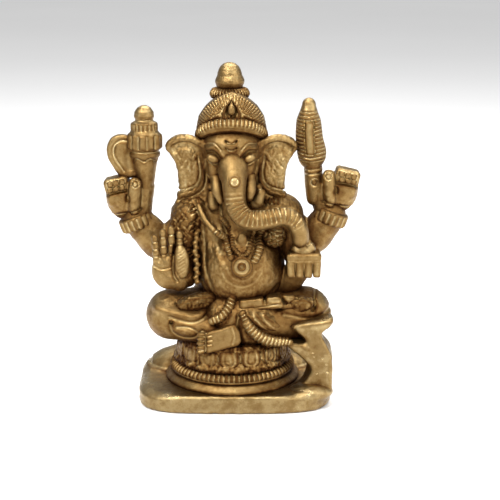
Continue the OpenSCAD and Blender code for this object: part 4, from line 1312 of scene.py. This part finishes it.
def crown_finial():
    at, radius, height = round_size("crown_finial")
    rows = [(0.86, 0), (0.9, 0.06), (1.0, 0.2), (1.0, 0.3), (0.93, 0.4), (0.86, 0.48), (0.82, 0.6),
            (0.74, 0.74), (0.6, 0.86), (0.4, 0.95), (0.18, 0.995), (0.05, 1.0)]
    profile = [(radius * r, height * z) for r, z in rows]
    cast(Clay("crown_finial", turned(at, profile), pitch=0.14), rough=0.04)


# ---------------------------------------------------------------- ornaments

def on_belly(x, z, out):
    """A point that stands out from the belly's surface, from offsets along X and Z."""
    u, w = x / BELLY_SIZE[0], z / BELLY_SIZE[2]
    return belly(x, -BELLY_SIZE[1] * math.sqrt(max(0.06, 1 - u * u - w * w)) - out, z)


def beads(path, size, pitch):
    """Round beads strung along a path."""
    rows = smooth_path(path, 12)
    travelled = np.concatenate([[0], np.cumsum(np.linalg.norm(np.diff(rows, axis=0), axis=1))])
    count = int(travelled[-1] / pitch)
    places = [[np.interp(i * pitch, travelled, rows[:, k]) for k in range(3)] for i in range(count + 1)]
    return [egg(at, (size, size, size)) for at in places]


def necklace():
    """A pitted collar that hangs in a narrow U, a smooth pendant in it and a ribbed band beside it."""
    collar = [body(-3.6, -7.6, 28.6), on_belly(-2.1, 9.4, 0.35), on_belly(-1.8, 7.0, 0.3),
              on_belly(-0.6, 5.5, 0.25), on_belly(0.6, 5.0, 0.25), on_belly(1.8, 5.9, 0.3),
              on_belly(2.5, 8.4, 0.4), body(4.6, -8.0, 27.6)]
    band = [body(6.8, -7.6, 27.8), on_belly(4.2, 8.4, 0.5), on_belly(4.2, 6.4, 0.4), on_belly(3.4, 4.3, 0.3),
            on_belly(2.6, 3.0, 0.1)]

    def pits(along, nx, ny, nz):
        return 0.1 - 0.3 * grooves(along, 0.8, 0.22)
    clay = Clay("necklace", tube([(*p, 0.55) for p in collar], pits), pitch=0.12, margin=1.0)
    clay.add(egg(on_belly(0.35, 7.7, -0.1), (1.25, 0.9, 1.9)), 0.1)
    clay.add(tube([(*p, 0.95) for p in band], pits), 0.1)
    clay.weld([belly_form()], 0.4)
    cast(clay)


def sacred_thread():
    """A strap from the figure's right shoulder to the medallion, plain above and beaded below."""
    points = [body(-8.4, -5.4, 30.6), body(-6.7, -7.4, 27.6), body(-4.2, -8.9, 25.2),
              on_belly(-3.4, 8.4, 0.35), on_belly(-2.8, 6.6, 0.4), on_belly(-2.1, 4.6, 0.35)]

    def studs(along, nx, ny, nz):
        return (0.2 * ribs(2 * math.pi * along / 0.86, 1.3) - 0.05) * step(along, 6.4, 7.2)
    clay = Clay("sacred_thread", tube([(*p, 0.72) for p in points], studs), pitch=0.12)
    cast(clay)


def bead_strand():
    """Uneven beads that hang from the shoulder beside the arm."""
    points = [right_shoulder(0.9, -5.4, -2.0), right_shoulder(0.5, -5.8, -6.0),
              right_shoulder(0.8, -6.0, -10.0), right_shoulder(0.7, -6.3, -13.8)]
    shapes = [egg(bead.low / 2 + bead.high / 2 + (0.3 * (-1) ** i, 0, 0), (0.62, 0.7, 0.5))
              for i, bead in enumerate(beads(points, 0.6, 0.98))]
    core = tube([(*p, 0.5) for p in points])
    clay = Clay("bead_strand", merged(shapes + [core], 0.15), pitch=0.12)
    cast(clay, rough=0.06)


def medallion():
    at = centre("medallion")
    profile = [(1.4, -1.3), (2.3, -0.8), (2.45, 0.0), (2.2, 0.36), (1.85, 0.36), (1.6, 0.05), (1.25, 0.02),
               (1.0, 0.1), (0.95, 0.42), (0.7, 0.62), (0.45, 0.6), (0.3, 0.2), (0.1, 0.1)]
    shape = placed(turned((0, 0, 0), profile), at + (0, 0.1, 0), (80, 0, 0))
    cast(Clay("medallion", shape, pitch=0.11), rough=0.02)


def chest_rosette():
    """A round patch of small leaves, cut at all angles."""
    at = centre("chest_rosette") + (0, 0.4, 0)
    clay = Clay("chest_rosette", egg(at, (2.7, 2.3, 2.6)), pitch=0.12)
    clay.facing(at, at[1])
    rng = np.random.default_rng(SEED)
    spiral = [(2.4 * i, 0.62 * math.sqrt(i)) for i in range(13)]
    places = [(reach * math.sin(turn), reach * math.cos(turn), rng.uniform(0, math.pi))
              for turn, reach in spiral]
    clay.strokes(places, 0.75, 0.2, -0.36)
    cast(clay, rough=0.05, crumple=lambda p: 0.12)


# ---------------------------------------------------------------- mouse

def mouse():
    """A worn profile of a mouse on the plinth's corner: two blunt points over a spreading foot."""
    low, high = low_corner("mouse"), high_corner("mouse")
    corner = local(np.array([high[0], low[1], low[2]]))
    side = [(-8.4, -0.6), (-7.6, 0.2), (-6.2, 1.2), (-4.9, 2.6), (-4.1, 4.0), (-4.2, 5.2), (-5.2, 6.4),
            (-7.2, 8.2), (-9.3, 10.0), (-8.6, 10.8), (-7.0, 10.6), (-5.2, 11.1), (-6.6, 12.6), (-8.3, 13.9),
            (-8.4, 14.6), (-6.2, 15.4), (-2.9, 16.0), (0.3, 16.6), (0.8, 15.8), (0.2, 14.5), (-1.3, 13.3),
            (-1.5, 12.3), (-0.6, 10.7), (0.5, 8.5), (0.9, 7.1), (0.8, 6.3), (0.8, -0.6)]
    outline = smooth_path(flat(corner(0, 0, 0), side), 3)
    plate = slab(outline, corner(0, 0.9, 0)[1], corner(0, 5.8, 0)[1], 0.9)
    plate = swept(plate, -0.08, 0.06, corner(-4, 0, 8))
    clay = Clay("mouse", plate, pitch=0.16, margin=1.2)
    clay.add(limb(corner(-2.4, 4.4, 1.0), 3.0, corner(-1.8, 4.4, 9.0), 2.2), 1.2)
    clay.facing(corner(0, 0, 0), corner(0, 4, 0)[1])
    clay.draw([(-7.4, 14.6), (-5.0, 15.0), (-2.2, 15.3), (0.4, 15.9)], 0.6, 0.3)
    clay.draw([(-8.2, 10.4), (-6.2, 10.2), (-4.6, 9.4)], 0.5, 0.25)
    rng = np.random.default_rng(SEED + 2)
    for pit in zip(rng.uniform(-3.6, 0.0, 9), rng.uniform(3, 14, 9)):
        clay.dimple(pit, (0.26, 0.2), -0.16)
    clay.trim(lambda x, y, z: low[2] - 0.3 - z)
    cast(clay, "worn_brass", rough=0.08)


# ---------------------------------------------------------------- materials

# colours from the deepest recess to bare metal, for the real patina and wear and also for painted shade in
# broad hollows and painted light on surfaces facing up, and the roughness that goes with them
PATINA_AND_SHADE = [(0.0, (0.036, 0.013, 0.004)), (0.2, (0.085, 0.036, 0.010)), (0.4, (0.165, 0.088, 0.027)),
          (0.6, (0.240, 0.148, 0.053)), (0.8, (0.345, 0.238, 0.100)), (1.0, (0.54, 0.415, 0.21))]
DULLNESS = [(0.0, (0.75,)), (0.3, (0.52,)), (0.65, (0.36,)), (1.0, (0.27,))]


def node_of(tree, kind, **values):
    node = tree.nodes.new(kind)
    for name, value in values.items():
        setattr(node, name, value)
    return node


def noise_of(tree, coordinates, scale, detail, roughness=0.6):
    noise = node_of(tree, "ShaderNodeTexNoise")
    noise.inputs["Scale"].default_value = scale
    noise.inputs["Detail"].default_value = detail
    noise.inputs["Roughness"].default_value = roughness
    tree.links.new(coordinates, noise.inputs["Vector"])
    return noise.outputs["Fac"]


def scaled(tree, source, factor, addend):
    """source * factor + addend, where addend is a number or another socket."""
    maths = node_of(tree, "ShaderNodeMath", operation="MULTIPLY_ADD")
    tree.links.new(source, maths.inputs[0])
    maths.inputs[1].default_value = factor
    if isinstance(addend, (int, float)):
        maths.inputs[2].default_value = addend
    else:
        tree.links.new(addend, maths.inputs[2])
    return maths.outputs[0]


def ramp(tree, source, stops):
    """Colours along source, from [place, colour] stops; a colour of one value is a grey."""
    node = node_of(tree, "ShaderNodeValToRGB")
    node.color_ramp.interpolation = "EASE"
    while len(node.color_ramp.elements) < len(stops):
        node.color_ramp.elements.new(0.5)
    for element, (place, colour) in zip(node.color_ramp.elements, stops):
        element.position = place
        element.color = (*colour, 1) if len(colour) == 3 else (colour[0],) * 3 + (1,)
    tree.links.new(source, node.inputs["Fac"])
    return node.outputs["Color"]


def brass(name, polish, tint, rough, pits):
    """Cast brass: dark brown patina in the recesses, gold on the relief, with casting grain and fine
    scratches; its colour also carries painted shade in broad hollows and painted light on surfaces that face
    up.

    polish shifts the whole piece towards bare metal, tint multiplies its colours, rough is added to
    the roughness and pits is the strength of the pitting.
    """
    material = bpy.data.materials.new(name)
    material.use_nodes = True
    tree = material.node_tree
    shader = tree.nodes["Principled BSDF"]
    coordinates = node_of(tree, "ShaderNodeTexCoord").outputs["Object"]
    fine = node_of(tree, "ShaderNodeAttribute", attribute_name="fine").outputs["Fac"]
    hollow_shade_and_patina = node_of(tree, "ShaderNodeAttribute", attribute_name="hollow_shade_and_patina").outputs["Fac"]

    clouds = noise_of(tree, coordinates, 260, 4)
    blotches = noise_of(tree, coordinates, 900, 5, 0.65)
    grain = noise_of(tree, coordinates, 3200, 4, 0.7)
    # the tone: real patina and polish from the fine bend and grain, painted shade in broad hollows, painted
    # light where surfaces face up, and random clouds
    wear_and_painted_shading = scaled(tree, fine, 0.42, scaled(tree, hollow_shade_and_patina, 0.34, polish))
    wear_and_painted_shading = scaled(tree, clouds, 0.34, scaled(tree, blotches, 0.50, scaled(tree, grain, 0.26, wear_and_painted_shading)))
    wear_and_painted_shading = scaled(tree, wear_and_painted_shading, 1.0, -0.56)

    stops = [(place, tuple(c * t for c, t in zip(shade, tint))) for place, shade in PATINA_AND_SHADE]
    colour = ramp(tree, wear_and_painted_shading, stops)
    tree.links.new(colour, shader.inputs["Base Color"])
    shader.inputs["Metallic"].default_value = 1.0

    dull = ramp(tree, wear_and_painted_shading, DULLNESS)
    dull = scaled(tree, grain, 0.12, scaled(tree, dull, 1.0, rough - 0.06))
    tree.links.new(dull, shader.inputs["Roughness"])

    stretch = node_of(tree, "ShaderNodeMapping")
    stretch.inputs["Scale"].default_value = (1.0, 1.0, 9.0)
    stretch.inputs["Rotation"].default_value = (0.35, 0.6, 0.0)
    tree.links.new(coordinates, stretch.inputs["Vector"])
    scratches = noise_of(tree, stretch.outputs["Vector"], 900, 2)
    pores = node_of(tree, "ShaderNodeTexVoronoi")
    pores.inputs["Scale"].default_value = 1500
    tree.links.new(coordinates, pores.inputs["Vector"])
    holes = ramp(tree, pores.outputs["Distance"], [(0.0, (0.0,)), (0.22, (1.0,))])
    relief = scaled(tree, grain, 0.9, scaled(tree, blotches, 1.1, scaled(tree, scratches, 0.35, 0.0)))
    relief = scaled(tree, holes, pits, relief)
    bump = node_of(tree, "ShaderNodeBump")
    bump.inputs["Strength"].default_value = 0.6
    bump.inputs["Distance"].default_value = 0.0002
    tree.links.new(relief, bump.inputs["Height"])
    tree.links.new(bump.outputs["Normal"], shader.inputs["Normal"])
    return material


def floor_material():
    material = bpy.data.materials.new("studio_floor")
    material.use_nodes = True
    tree = material.node_tree
    shader = tree.nodes["Principled BSDF"]
    coordinates = node_of(tree, "ShaderNodeTexCoord").outputs["Object"]
    shade = ramp(tree, noise_of(tree, coordinates, 3, 2), [(0.0, (0.86,)), (1.0, (0.90,))])
    tree.links.new(shade, shader.inputs["Base Color"])
    shader.inputs["Roughness"].default_value = 0.9
    return material


# ---------------------------------------------------------------- build

def wide_relief(pieces):
    """How far each piece's surface stands out of the whole figure, from a blurred grid of the solid; the
    colour uses it as painted shade, with patina, in the hollows where parts crowd together.
    """
    pitch, margin = WIDE_PITCH, 3.0
    low = np.min([p.clay.low for p in pieces], axis=0) - margin
    tops = [p.clay.low + np.array(p.clay.field.shape) * p.clay.pitch for p in pieces]
    high = np.max(tops, axis=0) + margin
    counts = np.ceil((high - low) / pitch).astype(int)
    solid = np.full(counts, 0, np.float32)
    for piece in pieces:
        clay = piece.clay
        reach = np.array(clay.field.shape) * clay.pitch
        first = np.ceil((clay.low - low) / pitch).astype(int)
        last = np.floor((clay.low + reach - clay.pitch - low) / pitch).astype(int)
        index = []
        for i in range(3):
            along = low[i] + pitch * np.arange(first[i], last[i]) - clay.low[i]
            index.append(np.clip(np.rint(along / clay.pitch).astype(int), 0, clay.field.shape[i] - 1))
        inside = np.clip(0.5 - clay.field[np.ix_(*index)] / pitch, 0, 1)
        cut = tuple(slice(first[i], last[i]) for i in range(3))
        solid[cut] = np.maximum(solid[cut], inside)
    near, far = box_blur(solid, 2), box_blur(solid, 6)
    out = []
    for piece in pieces:
        shade = 0.45 * sample(near, low, pitch, piece.points) + 0.55 * sample(far, low, pitch, piece.points)
        out.append((0.5 - shade) / WIDE_SCALE)
    return out


def object_of(piece, hollow_shade_and_patina, material):
    mesh = bpy.data.meshes.new("visual_" + piece.clay.node)
    count, faces = len(piece.points), len(piece.quads)
    mesh.vertices.add(count)
    mesh.vertices.foreach_set("co", (piece.points * MM).astype(np.float32).ravel())
    mesh.loops.add(faces * 4)
    mesh.loops.foreach_set("vertex_index", piece.quads.astype(np.int32).ravel())
    mesh.polygons.add(faces)
    mesh.polygons.foreach_set("loop_start", np.arange(0, faces * 4, 4, dtype=np.int32))
    mesh.polygons.foreach_set("use_smooth", np.ones(faces, bool))
    # fine holds the patina, grain and painted light from above; the other holds painted shade with the patina
    # of broad hollows
    for name, values in (("fine", piece.fine), ("hollow_shade_and_patina", hollow_shade_and_patina)):
        attribute = mesh.attributes.new(name, "FLOAT", "POINT")
        attribute.data.foreach_set("value", np.clip(values, -1, 1).astype(np.float32))
    mesh.update(calc_edges=True)
    mesh.validate()
    mesh.materials.append(material)
    shown = bpy.data.objects.new("visual_" + piece.clay.node, mesh)
    bpy.context.scene.collection.objects.link(shown)
    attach(shown, "root")
    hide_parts(piece.clay.node)


def sculpt():
    """Every piece, in the order that it is meshed."""
    base = (plinth, seat_step, beaded_ring, seat_cushion, lotus_petals)
    figure = (torso, right_leg, left_leg, lap_cloth, left_foot, right_foot, sashes, drapes)
    arms = (right_upper_arm, left_upper_arm, rear_arms, bracelets, fists, blessing_hand, offering_hand,
            sweets)
    held = (axe_shaft, axe_blade, goad_head, goad_handle)
    face_parts = (face, trunk, trunk_roundel, tusks, ears, ear_drops)
    crown = (crown_cap, crown_band, crown_front, crown_jewel, crown_ring, crown_finial)
    ornaments = (necklace, sacred_thread, bead_strand, medallion, chest_rosette)
    for make in (*base, *figure, *arms, *held, *face_parts, *crown, *ornaments, mouse):
        make()


SKY = [(0.0, (0.5,)), (0.5, (0.16, 0.16, 0.165)), (0.64, (0.42,)), (1.0, (0.9,))]
LAMPS = [("key", (-0.16, -0.30, 0.42), (0.20, 0.14), 3.0),
         ("fill", (0.36, -0.22, 0.20), (0.16, 0.26), 1.2),
         ("top", (0.05, 0.16, 0.46), (0.35, 0.2), 2.1)]
LAMP_TARGET = (0, 0, 0.038)
FLOOR_REACH = 4
VIEW_TARGET = Vector((0.0041, 0.0, 0.0337))
VIEW_RISE = math.radians(14)
VIEW_AWAY = 0.300
LENS = 95.0


def add_area(name, place, size, power, target):
    """A soft rectangular lamp, aimed at target."""
    lamp = bpy.data.lights.new(name, "AREA")
    lamp.shape = "RECTANGLE"
    lamp.size, lamp.size_y = size
    lamp.energy = power
    shown = bpy.data.objects.new(name, lamp)
    shown.location = place
    shown.rotation_euler = (Vector(target) - Vector(place)).to_track_quat("-Z", "Y").to_euler()
    bpy.context.scene.collection.objects.link(shown)


def studio():
    """A pale floor, soft lamps above and in front, and the camera."""
    mesh = bpy.data.meshes.new("studio_floor")
    corners = [(FLOOR_REACH * x, FLOOR_REACH * y, 0) for x, y in ((-1, -1), (1, -1), (1, 1), (-1, 1))]
    mesh.from_pydata(corners, [], [(0, 1, 2, 3)])
    mesh.materials.append(floor_material())
    floor = bpy.data.objects.new("studio_floor", mesh)
    bpy.context.scene.collection.objects.link(floor)

    for name, place, size, power in LAMPS:
        add_area(name, place, size, power, LAMP_TARGET)

    world = bpy.data.worlds.new("studio")
    world.use_nodes = True
    tree = world.node_tree
    background = tree.nodes["Background"]
    background.inputs["Strength"].default_value = 1.0
    gradient = node_of(tree, "ShaderNodeSeparateXYZ")
    tree.links.new(node_of(tree, "ShaderNodeTexCoord").outputs["Generated"], gradient.inputs[0])
    sky = ramp(tree, scaled(tree, gradient.outputs["Z"], 0.5, 0.5), SKY)
    tree.links.new(sky, background.inputs["Color"])
    bpy.context.scene.world = world
    bpy.context.scene.view_settings.view_transform = "Standard"

    camera = bpy.data.cameras.new("camera")
    camera.lens = LENS
    camera.sensor_width = 36
    camera.clip_start = 0.01
    view = bpy.data.objects.new("camera", camera)
    view.location = VIEW_TARGET + VIEW_AWAY * Vector((0, -math.cos(VIEW_RISE), math.sin(VIEW_RISE)))
    view.rotation_euler = (VIEW_TARGET - view.location).to_track_quat("-Z", "Y").to_euler()
    bpy.context.scene.collection.objects.link(view)
    bpy.context.scene.camera = view


sculpt()
materials = {
    "cast_brass": brass("cast_brass", 0.48, (1, 1, 1), 0.0, 0.25),
    "worn_brass": brass("worn_brass", 0.56, (0.97, 1.0, 1.06), -0.02, 0.3),
    "dark_brass": brass("dark_brass", 0.36, (1, 0.98, 0.95), 0.05, 0.5),
}
for piece, hollow_shade_and_patina in zip(casts, wide_relief(casts)):
    object_of(piece, hollow_shade_and_patina, materials[piece.slot])
studio()
